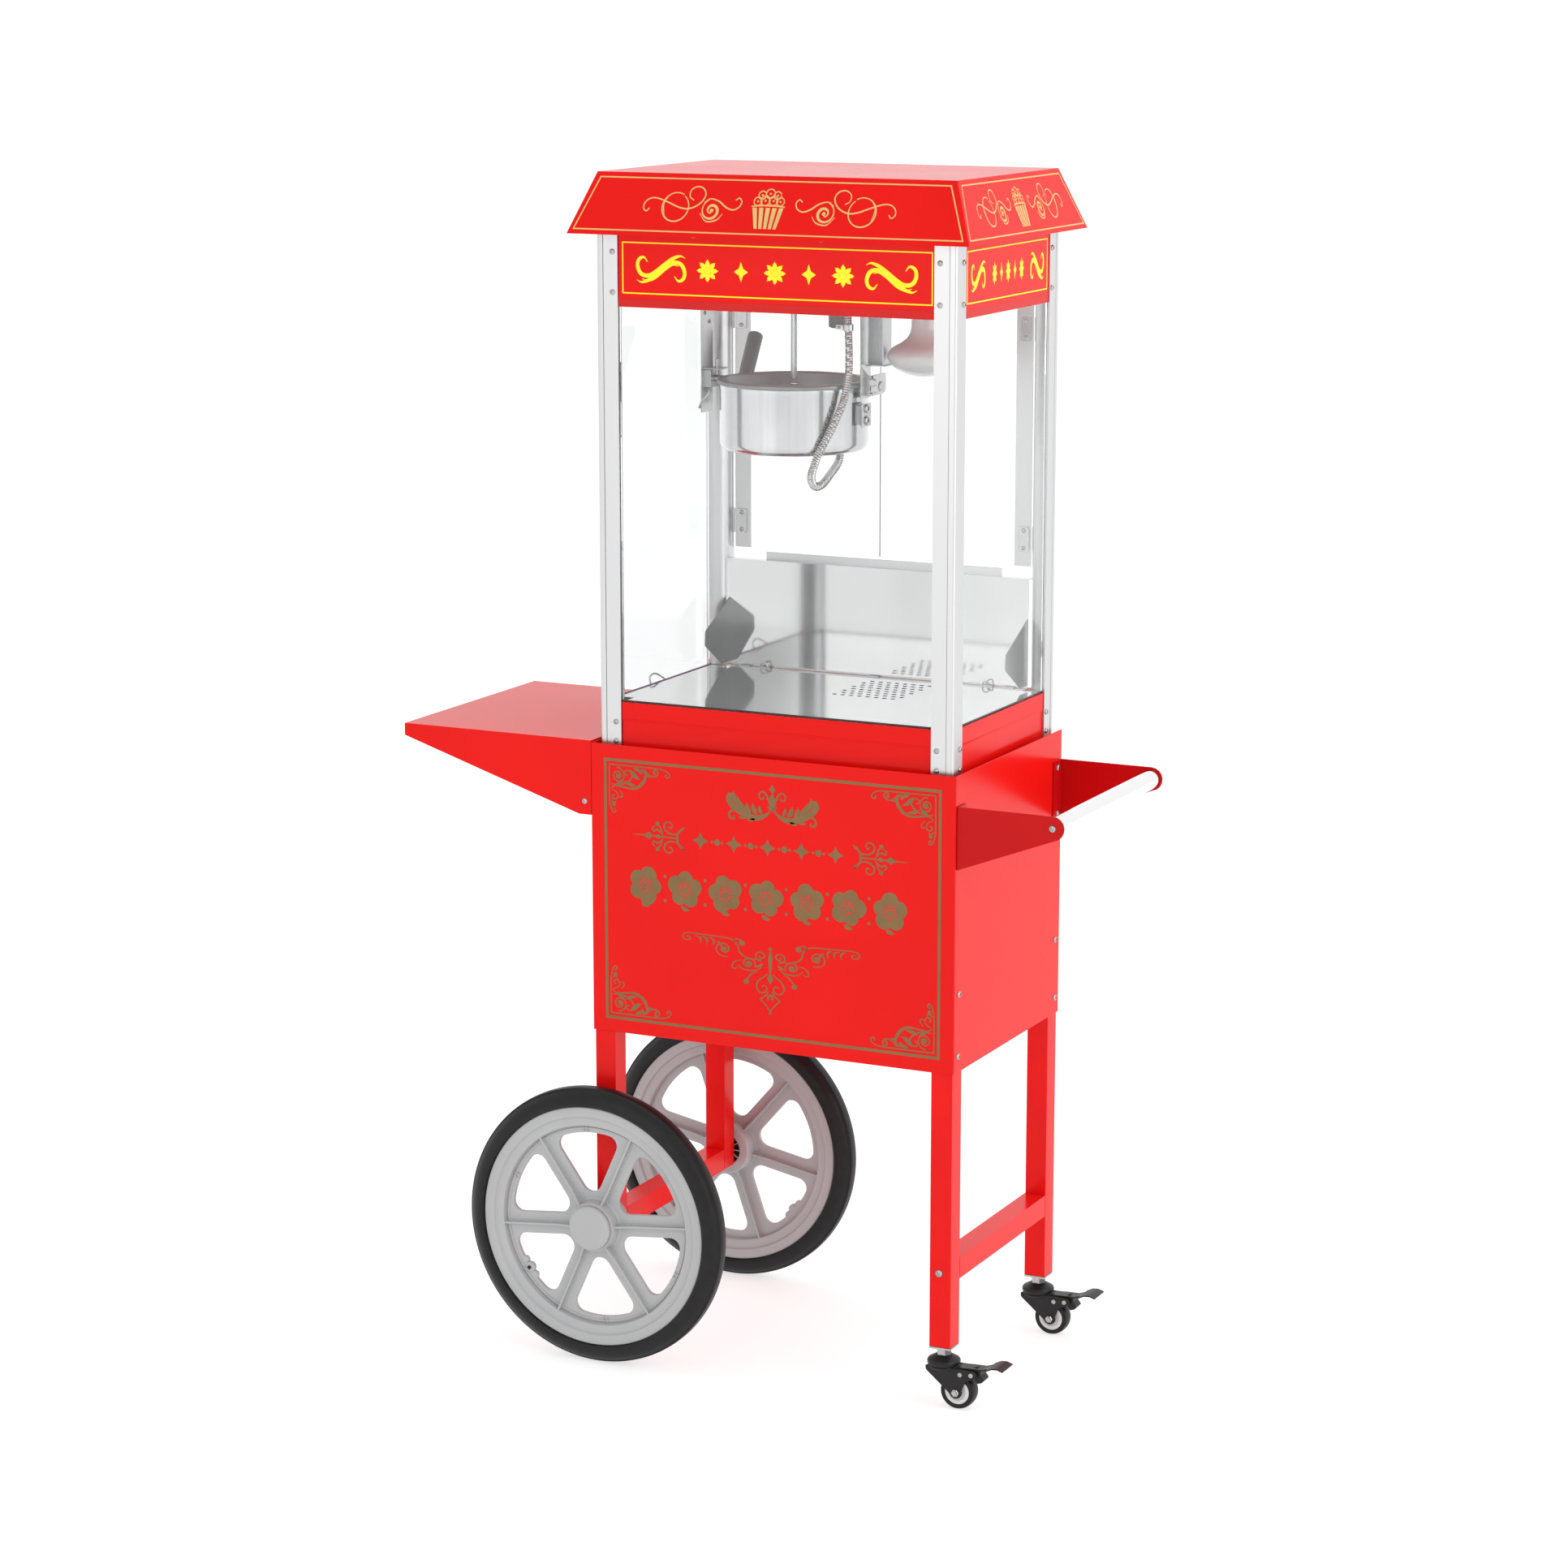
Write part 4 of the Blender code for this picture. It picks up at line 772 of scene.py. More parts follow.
def print_front_panel():
    """Border, corner scrolls, crown, star row, popped corn row and lower scrolls."""
    y = FRONT_LOW.y
    ink = Ink(plane((MID_X, y, 0), (1, 0, 0), (0, 0, 1)))
    left, right, low, high = -237, 237, 459.5, 805
    frame_line(ink, left, low, right, high, 3.8)
    inset = 8.0
    for x, sx in ((left + inset, 1), (right - inset, -1)):
        for z, sz in ((high - inset, -1), (low + inset, 1)):
            corner_scroll(ink.at(x, z, 1.05 * sx, 1.05 * sz))
    crown(ink.at(4, 753))
    side_flourish(ink.at(-122, STAR_ROW_Z, -1, 1))
    side_flourish(ink.at(118, STAR_ROW_Z))
    for k in range(5):
        lozenge(ink, -98 + STAR_PITCH * k, STAR_ROW_Z, 11.5, 11)
        if k < 4:
            x = -74.2 + STAR_PITCH * k
            ink.dot(x, STAR_ROW_Z, 4.2)
            ink.dot(x - 7.4, STAR_ROW_Z, 1.8)
            ink.dot(x + 7.4, STAR_ROW_Z, 1.8)
    crease = Ink(plane((MID_X, y - 0.00028, 0), (1, 0, 0), (0, 0, 1)))
    for k in range(7):
        x, lean = -178 + CORN_PITCH * k, (17 * k) % 41 - 20
        popped_corn(ink.at(x, CORN_ROW_Z), lean)
        popped_creases(crease.at(x, CORN_ROW_Z), lean)
        if k < 6:
            ink.dot(x + CORN_PITCH / 2, CORN_ROW_Z - 16, 2.2)
            ink.dot(x + CORN_PITCH / 2, CORN_ROW_Z + 16, 2.2)
    lower_flourish(ink.at(1, 586, 1, -0.77))
    ink.piece.done("front_panel_print", BROWN_GOLD, "cart", "red_panel")
    crease.piece.done("front_panel_creases", RED_PRINT, "cart", "red_panel")


def print_fascia(name, place, left, right, star_scale, scroll_scale):
    """Yellow border, two bold scrolls and a row of plain rosettes on one fascia side."""
    ink = Ink(place)
    frame_line(ink, left, 1399, right, 1463.7, 1.6)
    middle = (left + right) / 2
    reach = (right - left) / 2 - 55 * scroll_scale
    twin_scroll(ink.at(middle - reach, FASCIA_MIDDLE_Z, scroll_scale, 0.94))
    twin_scroll(ink.at(middle + reach, FASCIA_MIDDLE_Z, -scroll_scale, 0.94))
    for k in range(-2, 3):
        cell = ink.at(middle + 43 * k * star_scale, FASCIA_MIDDLE_Z, star_scale, 1)
        if k % 2:
            lozenge(cell, 0, 0, 9.0, 12.5)
        else:
            rosette(cell, 0, 0, 14.0)
    ink.piece.done(name, YELLOW, "cart", "red_machine")


def print_roof_face(name, foot, top, half_low, half_top, across, scale):
    """Gold border, tub and two scrolls on one sloped roof face."""
    foot, top = Vector(foot), Vector(top)
    up = top - foot
    ink = Ink(plane(foot, across, up))
    high = up.length / MM
    hl, ht = half_low / MM, half_top / MM
    lean = (hl - ht) / high

    def corners(edge):
        return [(-(hl - edge * 1.35), edge), (hl - edge * 1.35, edge),
                (ht - edge * 1.05, high - edge), (-(ht - edge * 1.05), high - edge)]

    quad_line(ink, corners(6.0), 1.7)
    popcorn_tub(ink.at(0, 14, scale, 1))
    for s in (-1, 1):
        roof_scroll(ink.at(-s * 172 * scale, high * 0.48, s * scale, 1))
    ink.piece.done(name, PALE_GOLD, "cart", "red_machine")


def make_fascia_lips():
    """The folded lower lip of the top box, in a darker red that is painted shade for a lip facing a little
    downward.
    """
    low, high, rise = TOP_LOW.z + 0.0003, TOP_LOW.z + 0.0105, 0.0003
    lips = Piece()
    lips.block((MID_X - 0.2136, TOP_LOW.y - rise, low), (MID_X + 0.2136, TOP_LOW.y - 0.00005, high))
    for s, x in ((-1, TOP_LOW.x), (1, TOP_HIGH.x)):
        lips.block((min(x, x + s * rise), -0.1305, low), (max(x, x + s * rise), 0.1305, high))
    lips.done("fascia_lips", RED_LIP_PAINTED_SHADE, "cart", "red_machine")


def print_all():
    make_fascia_lips()
    print_front_panel()
    front_y, side_x = TOP_LOW.y, TOP_HIGH.x
    print_fascia("front_fascia_print", plane((MID_X, front_y, 0), (1, 0, 0), (0, 0, 1)), -211, 214.6, 1.08,
                 1.0)
    print_fascia("right_fascia_print", plane((side_x, 0, 0), (0, 1, 0), (0, 0, 1)), -128, 128, 0.5, 0.62)
    print_fascia("left_fascia_print", plane((TOP_LOW.x, 0, 0), (0, -1, 0), (0, 0, 1)), -128, 128, 0.52,
                 0.62)
    hx, hy = (ROOF_HIGH.x - ROOF_LOW.x) / 2, (ROOF_HIGH.y - ROOF_LOW.y) / 2
    tx, ty = hx - 0.029, hy - 0.0304
    z0, z1 = ROOF_LOW.z, ROOF_HIGH.z
    print_roof_face("roof_front_print", (MID_X, -hy, z0), (MID_X, -ty, z1), hx, tx, (1, 0, 0), 1.0)
    print_roof_face("roof_rear_print", (MID_X, hy, z0), (MID_X, ty, z1), hx, tx, (-1, 0, 0), 1.0)
    print_roof_face("roof_right_print", (MID_X + hx, 0, z0), (MID_X + tx, 0, z1), hy, ty, (0, 1, 0), 0.78)
    print_roof_face("roof_left_print", (MID_X - hx, 0, z0), (MID_X - tx, 0, z1), hy, ty, (0, -1, 0), 0.78)


print_all()


# ------------------------------------------------------------------ painted sheet metal and frame
CAD_FINISHES = ((RED, 0.0005, "cart_front_panel cart_left_panel cart_right_panel cart_rear_frame"), (RED,
        0.0005, "cart_deck cabinet_floor side_shelf cabinet_door"),
                (RED, 0.0004, "machine_base top_box control_panel"), (RED, 0.0012, "roof"),
                # the handle arms' darker red is painted shade
                (RED_ARM_PAINTED_SHADE, 0.0004, "handle_arm_front handle_arm_rear"), (RED_DEEP, 0.0006,
        "leg_front_left leg_front_right leg_rear_left leg_rear_right leg_crossbar axle_beam"),
                # the kernel drawer's near-black steel is painted shade under the tray holes
                (ZINC, 0.0006, "wheel_axle"), (DRAWER_PAINTED_SHADE, 0.0004, "kernel_drawer"),
                (BLACK, 0.0008, "gear_motor"), (BLACK, 0.0003, "caster_stem_front caster_stem_rear"),
                (STEEL, 0.0, "drive_shaft"), (STEEL, 0.0004, "stirrer"),
                (STEEL, 0.0003, "hanger_left hanger_right"))


def dress_cart():
    """Finishes of the CAD nodes that stay in view."""
    for mat, width, nodes in CAD_FINISHES:
        for node in nodes.split():
            dress(node, mat, width)
    for node in ("glass_front", "glass_left", "glass_right"):
        NODES[node].data.materials[0] = GLASS
    for node in ("door_left", "door_right"):
        NODES[node].data.materials[0] = ACRYLIC


dress_cart()


def make_handle_tube():
    low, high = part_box("handle_tube")
    centre = (low + high) / 2
    r, half = (high.x - low.x) / 2, (high.y - low.y) / 2
    tube = Piece()
    tube.lathe(mirrored([(r - 0.0015, -half), (r, -half)]), turned("y", centre), 64)
    tube.done("grab_tube", CHROME, "cart", "handle_chrome", replaces="handle_tube")


make_handle_tube()


# ------------------------------------------------------------------ corner posts
def corner_arc(cx, cy, r, start, end, steps=6):
    """Points on an arc about (cx, cy), angles in degrees."""
    return [(cx + r * math.cos(math.radians(start + (end - start) * k / steps)),
             cy + r * math.sin(math.radians(start + (end - start) * k / steps))) for k in range(steps + 1)]


def post_section():
    """Outline of a corner post in millimetres, from its outer corner, with a bead and two grooves."""
    bead, groove, step = 9.0, 0.9, 0.55
    pts = [(30, step), (bead + groove, step), (bead + groove / 2, 1.6), (bead, 0.0)]
    pts += corner_arc(3.5, 3.5, 3.5, 270, 180)
    pts += [(0.0, bead), (1.6, bead + groove / 2), (step, bead + groove), (step, 30)]
    pts += corner_arc(6, 6, 24, 90, 0, 10)
    return pts


def make_posts():
    for label_x, sx in (("left", -1), ("right", 1)):
        for label_y, sy in (("front", -1), ("rear", 1)):
            node = "post_" + label_y + "_" + label_x
            low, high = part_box(node)
            corner = Vector((high.x if sx > 0 else low.x, high.y if sy > 0 else low.y, 0))
            place = Matrix.Translation(corner) @ Matrix.Diagonal((-sx * MM, -sy * MM, 1, 1))
            post = Piece()
            post.slab(post_section(), low.z, high.z, place)
            post.done(node + "_extrusion", ALUMINIUM, "cart", "satin_post", sharp=24, replaces=node)


make_posts()


# ------------------------------------------------------------------ big wheels
SPOKES = 6


def window_outline(mid):
    """One rounded opening between two spokes, in the wheel's plane."""
    half, inner_r, outer_r, out_r, spoke = math.pi / SPOKES, 0.015, 0.013, 0.1245, 0.0148
    reach = (spoke + inner_r) / math.sin(half)
    pts = []
    for i in range(9):
        a = mid + math.pi / 2 + half + (math.pi - 2 * half) * i / 8
        pts.append((reach * math.cos(mid) + inner_r * math.cos(a),
                    reach * math.sin(mid) + inner_r * math.sin(a)))
    lean = math.asin((spoke + outer_r) / (out_r - outer_r))
    for sign in (-1, 1):
        centre, normal = mid + sign * (half - lean), mid + sign * (half + math.pi / 2)
        run = []
        for i in range(7):
            a = normal + (centre - normal) * i / 6
            run.append(((out_r - outer_r) * math.cos(centre) + outer_r * math.cos(a),
                        (out_r - outer_r) * math.sin(centre) + outer_r * math.sin(a)))
        pts += run if sign < 0 else run[::-1]
        if sign < 0:
            for i in range(1, 8):
                a = centre + (half - lean) * 2 * i / 8
                pts.append((out_r * math.cos(a), out_r * math.sin(a)))
    return pts


def circle(radius, count):
    return [(radius * math.cos(TAU * k / count), radius * math.sin(TAU * k / count)) for k in range(count)]


def moulded_plate(outlines, thickness, rounding):
    """Mesh of a flat plate with openings and rounded edges, in its own plane."""
    curve = bpy.data.curves.new("plate", "CURVE")
    curve.dimensions = "2D"
    curve.fill_mode = "BOTH"
    curve.extrude = thickness / 2 - rounding
    curve.bevel_depth = rounding
    curve.bevel_resolution = 2
    curve.offset = -rounding
    for outline in outlines:
        spline = curve.splines.new("POLY")
        spline.use_cyclic_u = True
        spline.points.add(len(outline) - 1)
        for slot, (u, v) in zip(spline.points, outline):
            slot.co = (u, v, 0, 1)
    obj = bpy.data.objects.new("plate", curve)
    bpy.context.scene.collection.objects.link(obj)
    bpy.context.view_layer.update()
    mesh = bpy.data.meshes.new_from_object(obj.evaluated_get(bpy.context.evaluated_depsgraph_get()))
    bpy.data.objects.remove(obj, do_unlink=True)
    bm = bmesh.new()
    bm.from_mesh(mesh)
    bmesh.ops.remove_doubles(bm, verts=bm.verts, dist=0.000004)
    verts = [v.co.copy() for v in bm.verts]
    faces = [[v.index for v in f.verts] for f in bm.faces]
    bm.free()
    return verts, faces


def make_wheel(end, sy, phase):
    low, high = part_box("wheel_" + end)
    hub = (low + high) / 2
    hub.y = sy * 0.2
    plate_place = turned("y" if sy > 0 else "-y", hub)
    turn = math.radians(phase if sy < 0 else 180 - phase)

    casting = Piece()
    windows = [window_outline(turn + (2 * k + 1) * math.pi / SPOKES) for k in range(SPOKES)]
    plate = moulded_plate([circle(0.1355, 96)] + windows + [circle(0.02, 40)], 0.0062, 0.0012)
    casting.shell(*plate, plate_place)
    rim = [(0.1335, -0.0032), (0.1352, -0.0098), (0.1372, -0.0108), (0.1465, -0.0112), (0.1478, -0.0138),
           (0.149, -0.0145), (0.1602, -0.0145), (0.1612, -0.0137), (0.1612, -0.0112), (0.153, -0.0102)]
    casting.lathe(mirrored(rim), plate_place, 144)
    ring = [(0.129, 0.0024), (0.1296, 0.0046), (0.1318, 0.0046), (0.1324, 0.0024)]
    casting.lathe(ring, plate_place, 120)
    boss = [(0.006, -0.025), (0.011, -0.025), (0.011, -0.019), (0.0215, -0.019), (0.0215, -0.025),
            (0.033, -0.025), (0.035, -0.0235), (0.0352, -0.004), (0.0385, -0.0026), (0.0385, 0.0026),
            (0.0345, 0.0045), (0.0328, 0.016), (0.0318, 0.0176), (0.006, 0.018)]
    casting.lathe(boss, plate_place, 72)
    for k in range(SPOKES):
        a = turn + k * TAU / SPOKES
        blade = mirrored([(0.031, -0.015), (0.055, -0.0105), (0.1362, -0.0096)])
        foot = mirrored([(0.03, -0.005), (0.05, -0.0042), (0.137, -0.0042)])
        spin = plate_place @ Matrix.Rotation(a, 4, "Z") @ Matrix.Rotation(PI_HALF, 4, "X")
        casting.slab(blade, -0.0013, 0.0013, spin)
        casting.slab(foot, -0.003, 0.003, spin)
    for k in range(SPOKES):
        a = turn + (k + 0.5) * TAU / SPOKES
        for shift in (-0.022, 0.022):
            mark = plate_place @ Matrix.Rotation(a + shift, 4, "Z")
            casting.slab(mirrored([(0.1258, -0.0005), (0.1345, -0.0005)]), 0.0024, 0.0052, mark)
    valve_turn = Matrix.Rotation(turn + math.radians(210), 4, "Z")
    valve = plate_place @ valve_turn @ Matrix.Translation((0.1235, 0, 0))
    casting.lathe([(0, -0.003), (0.006, -0.003), (0.007, -0.002), (0.007, 0.0034), (0.0056, 0.0046),
                   (0, 0.0046)], valve, 24)
    for side in (-1, 1):
        bump = valve @ Matrix.Translation((0.0016, side * 0.0115, 0))
        casting.lathe([(0, -0.003), (0.0052, -0.003), (0.006, -0.002), (0.006, 0.0022), (0.005, 0.003),
                       (0, 0.003)], bump, 20)
    obj = casting.done("wheel_casting_" + end, WHEEL_GREY, "big_wheel_" + end, "wheel_grey", sharp=35)
    soften(obj, 0.0004, weld=False)
    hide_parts("wheel_" + end)

    stem = Piece()
    stem.lathe([(0, 0.004), (0.0024, 0.004), (0.0024, 0.0066), (0.0016, 0.0074), (0, 0.0074)], valve, 16)
    stem.done("valve_stub_" + end, BLACK, "big_wheel_" + end, "tyre_black")

    # painted shade: a black ring laid on the floor of the grey hub's inner recess makes the recess read
    # dark
    recess_shade = Piece()
    recess_shade.lathe([(0.0112, -0.0215), (0.0212, -0.0215), (0.0212, -0.0185), (0.0112, -0.0185)], plate_place,
                  48)
    recess_shade.done("hub_recess_painted_shade_" + end, BLACK, "big_wheel_" + end, "wheel_grey")
    ribs = Piece()
    for k in range(12):
        fin = plate_place @ Matrix.Rotation(TAU * k / 12, 4, "Z")
        ribs.slab(mirrored([(0.0105, -0.0006), (0.022, -0.0006)]), -0.0246, -0.02, fin)
    ribs.done("hub_fins_" + end, WHEEL_GREY, "big_wheel_" + end, "wheel_grey")

    cap = Piece()
    cap.lathe([(0, 0.0184), (0.0292, 0.0184), (0.0296, 0.02), (0.0292, 0.0222), (0.0272, 0.0238),
               (0.0262, 0.0242), (0.018, 0.0245), (0, 0.0246)], plate_place, 64)
    cap.done("hub_cover_" + end, WHEEL_GREY, "big_wheel_" + end, "wheel_grey", sharp=25,
             replaces="hub_cap_" + end)

    tyre = Piece()
    profile = [(0.154, -0.009), (0.1608, -0.0102), (0.1618, -0.015), (0.1626, -0.0176), (0.165, -0.0189)]
    profile += [(0.1622 + 0.0236 * math.sin(math.radians(t)), -0.0192 * math.cos(math.radians(t)))
                for t in range(14, 66, 8)]
    profile += [(0.18465, -0.0086), (0.1838, -0.008), (0.1853, -0.007), (0.1859, -0.004), (0.186, -0.0008)]
    tyre.lathe(mirrored(profile), plate_place, 160)
    tyre.done("tyre_solid_" + end, TYRE, "big_wheel_" + end, "tyre_black", sharp=40, replaces="tyre_" + end)


make_wheel("front", -1, 6)
make_wheel("rear", 1, -11)


# ------------------------------------------------------------------ casters
def make_caster(end, sy):
    stem_low, stem_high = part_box("caster_stem_" + end)
    cx, cy = (stem_low.x + stem_high.x) / 2, (stem_low.y + stem_high.y) / 2
    roller_low, roller_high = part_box("caster_wheel_" + end)
    ax, az = (roller_low.x + roller_high.x) / 2, (roller_low.z + roller_high.z) / 2
    r = (roller_high.z - roller_low.z) / 2
    upright = Matrix.Translation((cx, cy, 0))

    cup = Piece()
    cup.lathe([(0, 0.0563), (0.0202, 0.0563), (0.0214, 0.058), (0.0214, 0.061), (0.02, 0.0632),
               (0.0176, 0.064), (0.0172, 0.0628), (0.013, 0.0622), (0.0118, 0.0668), (0, 0.0668)], upright,
              48)
    cup.done("caster_cup_" + end, BLACK, "cart", "black_plastic", sharp=30)
    nut = Piece()
    nut.bar((cx, cy, 0.0678), "z", 0.0099, 0.0099, 6, 0.0008)
    nut.bar((cx, cy, 0.0777), "z", 0.0056, 0.0034, 24)
    nut.block((cx - 0.0145, cy - 0.0145, 0.0784), (cx + 0.0145, cy + 0.0145, 0.0807))
    nut.done("caster_nut_" + end, ZINC, "cart", "zinc", sharp=30)
    race = Piece()
    race.lathe([(0, 0.052), (0.0196, 0.052), (0.0205, 0.0532), (0.0205, 0.0546), (0.0196, 0.0556),
                (0, 0.0556)], upright, 48)
    race.done("caster_race_" + end, BLACK, "caster_" + end, "black_plastic", sharp=30)

    cheeks = Piece()
    outline = [(cx - 0.02, 0.0545), (cx + 0.025, 0.0555), (cx + 0.047, 0.0552)]
    outline += [(cx + 0.0455 + 0.0055 * math.cos(math.radians(a)),
                 0.0497 + 0.0055 * math.sin(math.radians(a))) for a in (40, 0, -40, -80)]
    outline += [(cx + 0.035, 0.04)]
    outline += [(ax + 0.0082 * math.cos(math.radians(a)), az + 0.0082 * math.sin(math.radians(a)))
                for a in range(20, -161, -20)]
    outline += [(cx - 0.0185, 0.0478), (cx - 0.02, 0.05)]
    for side in (-1, 1):
        mesh = moulded_plate([counter_clockwise(outline)], 0.0024, 0.0006)
        cheeks.shell(*mesh, upright_plane(0, cy + side * 0.01205))
    cheeks.slab([(cx - 0.019, cy - 0.012), (cx + 0.024, cy - 0.012), (cx + 0.024, cy + 0.012),
                 (cx - 0.019, cy + 0.012)], 0.052, 0.0546)
    cheeks.bar((ax, cy - 0.012, az), "y", 0.003, 0.024)
    cheeks.done("caster_fork_shell_" + end, BLACK, "caster_" + end, "black_plastic", sharp=30,
                replaces="caster_fork_" + end)

    bolts = Piece()
    for side, axis in ((-1, "-y"), (1, "y")):
        face = cy + side * 0.0133
        bolts.lathe([(0, 0), (0.0052, 0), (0.0052, 0.0022), (0.0044, 0.003), (0, 0.003)],
                    turned(axis, (ax, face, az)), 6)
        bolts.lathe([(0, 0), (0.003, 0), (0.003, 0.0044), (0, 0.0048)], turned(axis, (ax, face, az)), 20)
        for dx, z in ((0.028, 0.0485), (0.043, 0.0497)):
            bolts.lathe([(0, 0), (0.0032, 0), (0.0028, 0.0012), (0.0014, 0.0016), (0.0012, 0.0008),
                         (0, 0.0008)], turned(axis, (cx + dx, face, z)), 24)
    bolts.done("caster_rivets_" + end, ZINC, "caster_" + end, "zinc", sharp=25)

    tread = Piece()
    tread.lathe(mirrored([(0.0165, -0.0088), (0.0205, -0.0095), (0.0222, -0.0088), (r - 0.0004, -0.0058),
                          (r, -0.002)]), turned("y", (ax, cy, az)), 64)
    tread.done("caster_tread_" + end, TYRE, "caster_" + end + "_wheel", "caster_grey", sharp=35,
               replaces="caster_wheel_" + end)
    disc = Piece()
    disc.lathe(mirrored([(0.004, -0.0078), (0.011, -0.0078), (0.0118, -0.009), (0.016, -0.009),
                         (0.0166, -0.0086)]), turned("y", (ax, cy, az)), 64)
    disc.done("caster_disc_" + end, CASTER_GREY, "caster_" + end + "_wheel", "caster_grey", sharp=35)

    pedal = Piece()
    side_view = [(0.0225, 0.0562), (0.04, 0.0575), (0.056, 0.058), (0.064, 0.0608), (0.072, 0.0646),
                 (0.08, 0.0654), (0.0884, 0.0628), (0.0878, 0.0612), (0.08, 0.0636), (0.0722, 0.0628),
                 (0.064, 0.0588), (0.056, 0.056), (0.04, 0.0555), (0.0225, 0.0545)]
    facing = upright_plane(cx, cy)
    pedal.slab(side_view[:5] + side_view[9:], -0.0098, 0.0098, facing)
    pedal.slab(side_view[3:11], -0.0172, 0.0172, facing)
    pedal.slab([(0.043, 0.056), (0.054, 0.056), (0.0545, 0.05), (0.059, 0.044), (0.056, 0.04),
                (0.05, 0.038), (0.0452, 0.044), (0.044, 0.049)], -0.0086, 0.0086, facing)
    pedal.slab([(0.041, 0.0575), (0.047, 0.059), (0.05, 0.0575)], -0.003, 0.003, facing)
    pedal.done("brake_pedal_" + end, BLACK, "brake_" + end, "black_plastic", bevel=0.0005, sharp=30,
               replaces="caster_brake_" + end)


make_caster("front", -1)
make_caster("rear", 1)


# ------------------------------------------------------------------ kettle
def make_kettle():
    axis = Matrix.Translation((POT_X, 0, 0))
    r, low, rim, flange, bowl = POT_R, POT_LOW_Z, POT_RIM_Z, POT_FLANGE_R, POT_BOWL_R
    wall = Piece()
    wall.lathe([(0, low), (r - 0.012, low), (r - 0.009, low + 0.0006), (r - 0.0045, low + 0.0024),
                (r - 0.0012, low + 0.006), (r, low + 0.0115), (r, 1.2705), (r + 0.001, 1.2785),
                (r - 0.0025, 1.2785), (r - 0.0025, low + 0.012), (r - 0.0075, low + 0.004),
                (0, low + 0.003)], axis, 128)
    wall.bar((POT_X - 0.132, 0, PIVOT_Z), "x", 0.004, 0.038)
    wall.bar((POT_X + 0.094, 0, PIVOT_Z), "x", 0.004, 0.021)
    wall.done("pot_wall", POLISHED_PAINTED_BANDS, "kettle", "polished_pot", sharp=35, replaces="kettle_pot")

    lining = Piece()
    lining.lathe([(r + 0.0005, 1.2783), (flange - 0.0016, 1.2783), (flange - 0.0003, 1.279), (flange, 1.28),
                  (flange, 1.2825), (flange - 0.0005, 1.2838), (flange - 0.0016, rim), (bowl + 0.0026, rim),
                  (bowl + 0.001, rim - 0.0008), (bowl, 1.282), (bowl, 1.209), (bowl - 0.0016, 1.203),
                  (bowl - 0.006, 1.2), (bowl - 0.011, 1.199), (0, 1.199), (0, 1.198),
                  (bowl - 0.008, 1.1985), (bowl + 0.001, 1.207), (bowl + 0.0022, 1.276)], axis, 128)
    lining.done("pot_lining", NONSTICK, "kettle", "polished_pot", sharp=40)

    foot, head = Vector((-0.1466 + MID_X, 0.0445, 1.2565)), Vector((-0.1463 + MID_X, 0.088, 1.332))
    length = (head - foot).length
    place = Matrix.Translation(foot) @ (head - foot).to_track_quat("Z", "Y").to_matrix().to_4x4()
    grip = Piece()
    dome = [(0.01 * math.cos(math.radians(a)), length - 0.005 + 0.0055 * math.sin(math.radians(a)))
            for a in range(0, 90, 15)]
    grip.lathe([(0, 0), (0.008, 0), (0.0088, 0.0012), (0.009, 0.015),
                (0.0098, 0.035)] + dome + [(0, length + 0.0006)], place, 48)
    grip.done("kettle_grip", GRIP, "kettle", "black_grip", sharp=35, replaces="kettle_handle")
    lug = Piece()
    out = Vector((foot.x - POT_X, foot.y, 0)).normalized()
    side = Vector((-out.y, out.x, 0))
    corners = []
    for reach, w in ((0.0945, -0.0085), (0.111, -0.0085), (0.1155, -0.004), (0.1155, 0.004),
                     (0.111, 0.0085), (0.0945, 0.0085)):
        p = out * reach + side * w
        corners.append((POT_X + p.x, p.y))
    lug.slab(corners, 1.2455, 1.2485)
    lug.bar((foot.x, foot.y, 1.248), "z", 0.0052, 0.005, 24)
    lug.bar((foot.x, foot.y, 1.2415), "z", 0.0056, 0.004, 6)
    lug.done("grip_lug", STEEL, "kettle", "polished_pot", bevel=0.0003)

    wing = POT_X + r
    spacer = Piece()
    spacer.block((wing - 0.004, -0.012, 1.231), (wing + 0.0058, 0.0085, 1.256))
    spacer.done("strap_spacer", STEEL, "kettle", "polished_pot", bevel=0.0008)
    strap = Piece()
    strap.block((wing + 0.006, -0.016, 1.2282), (wing + 0.0077, 0.012, 1.2575))
    strap.done("pot_strap", STEEL, "kettle", "polished_pot", bevel=0.0005)
    places = [((wing + 0.0077, -0.0025, z), "x", turn) for z, turn in ((1.2512, 20), (1.2362, 65))]
    screws("pot_strap_screws", places, 0.0058, "kettle", "polished_pot")


make_kettle()


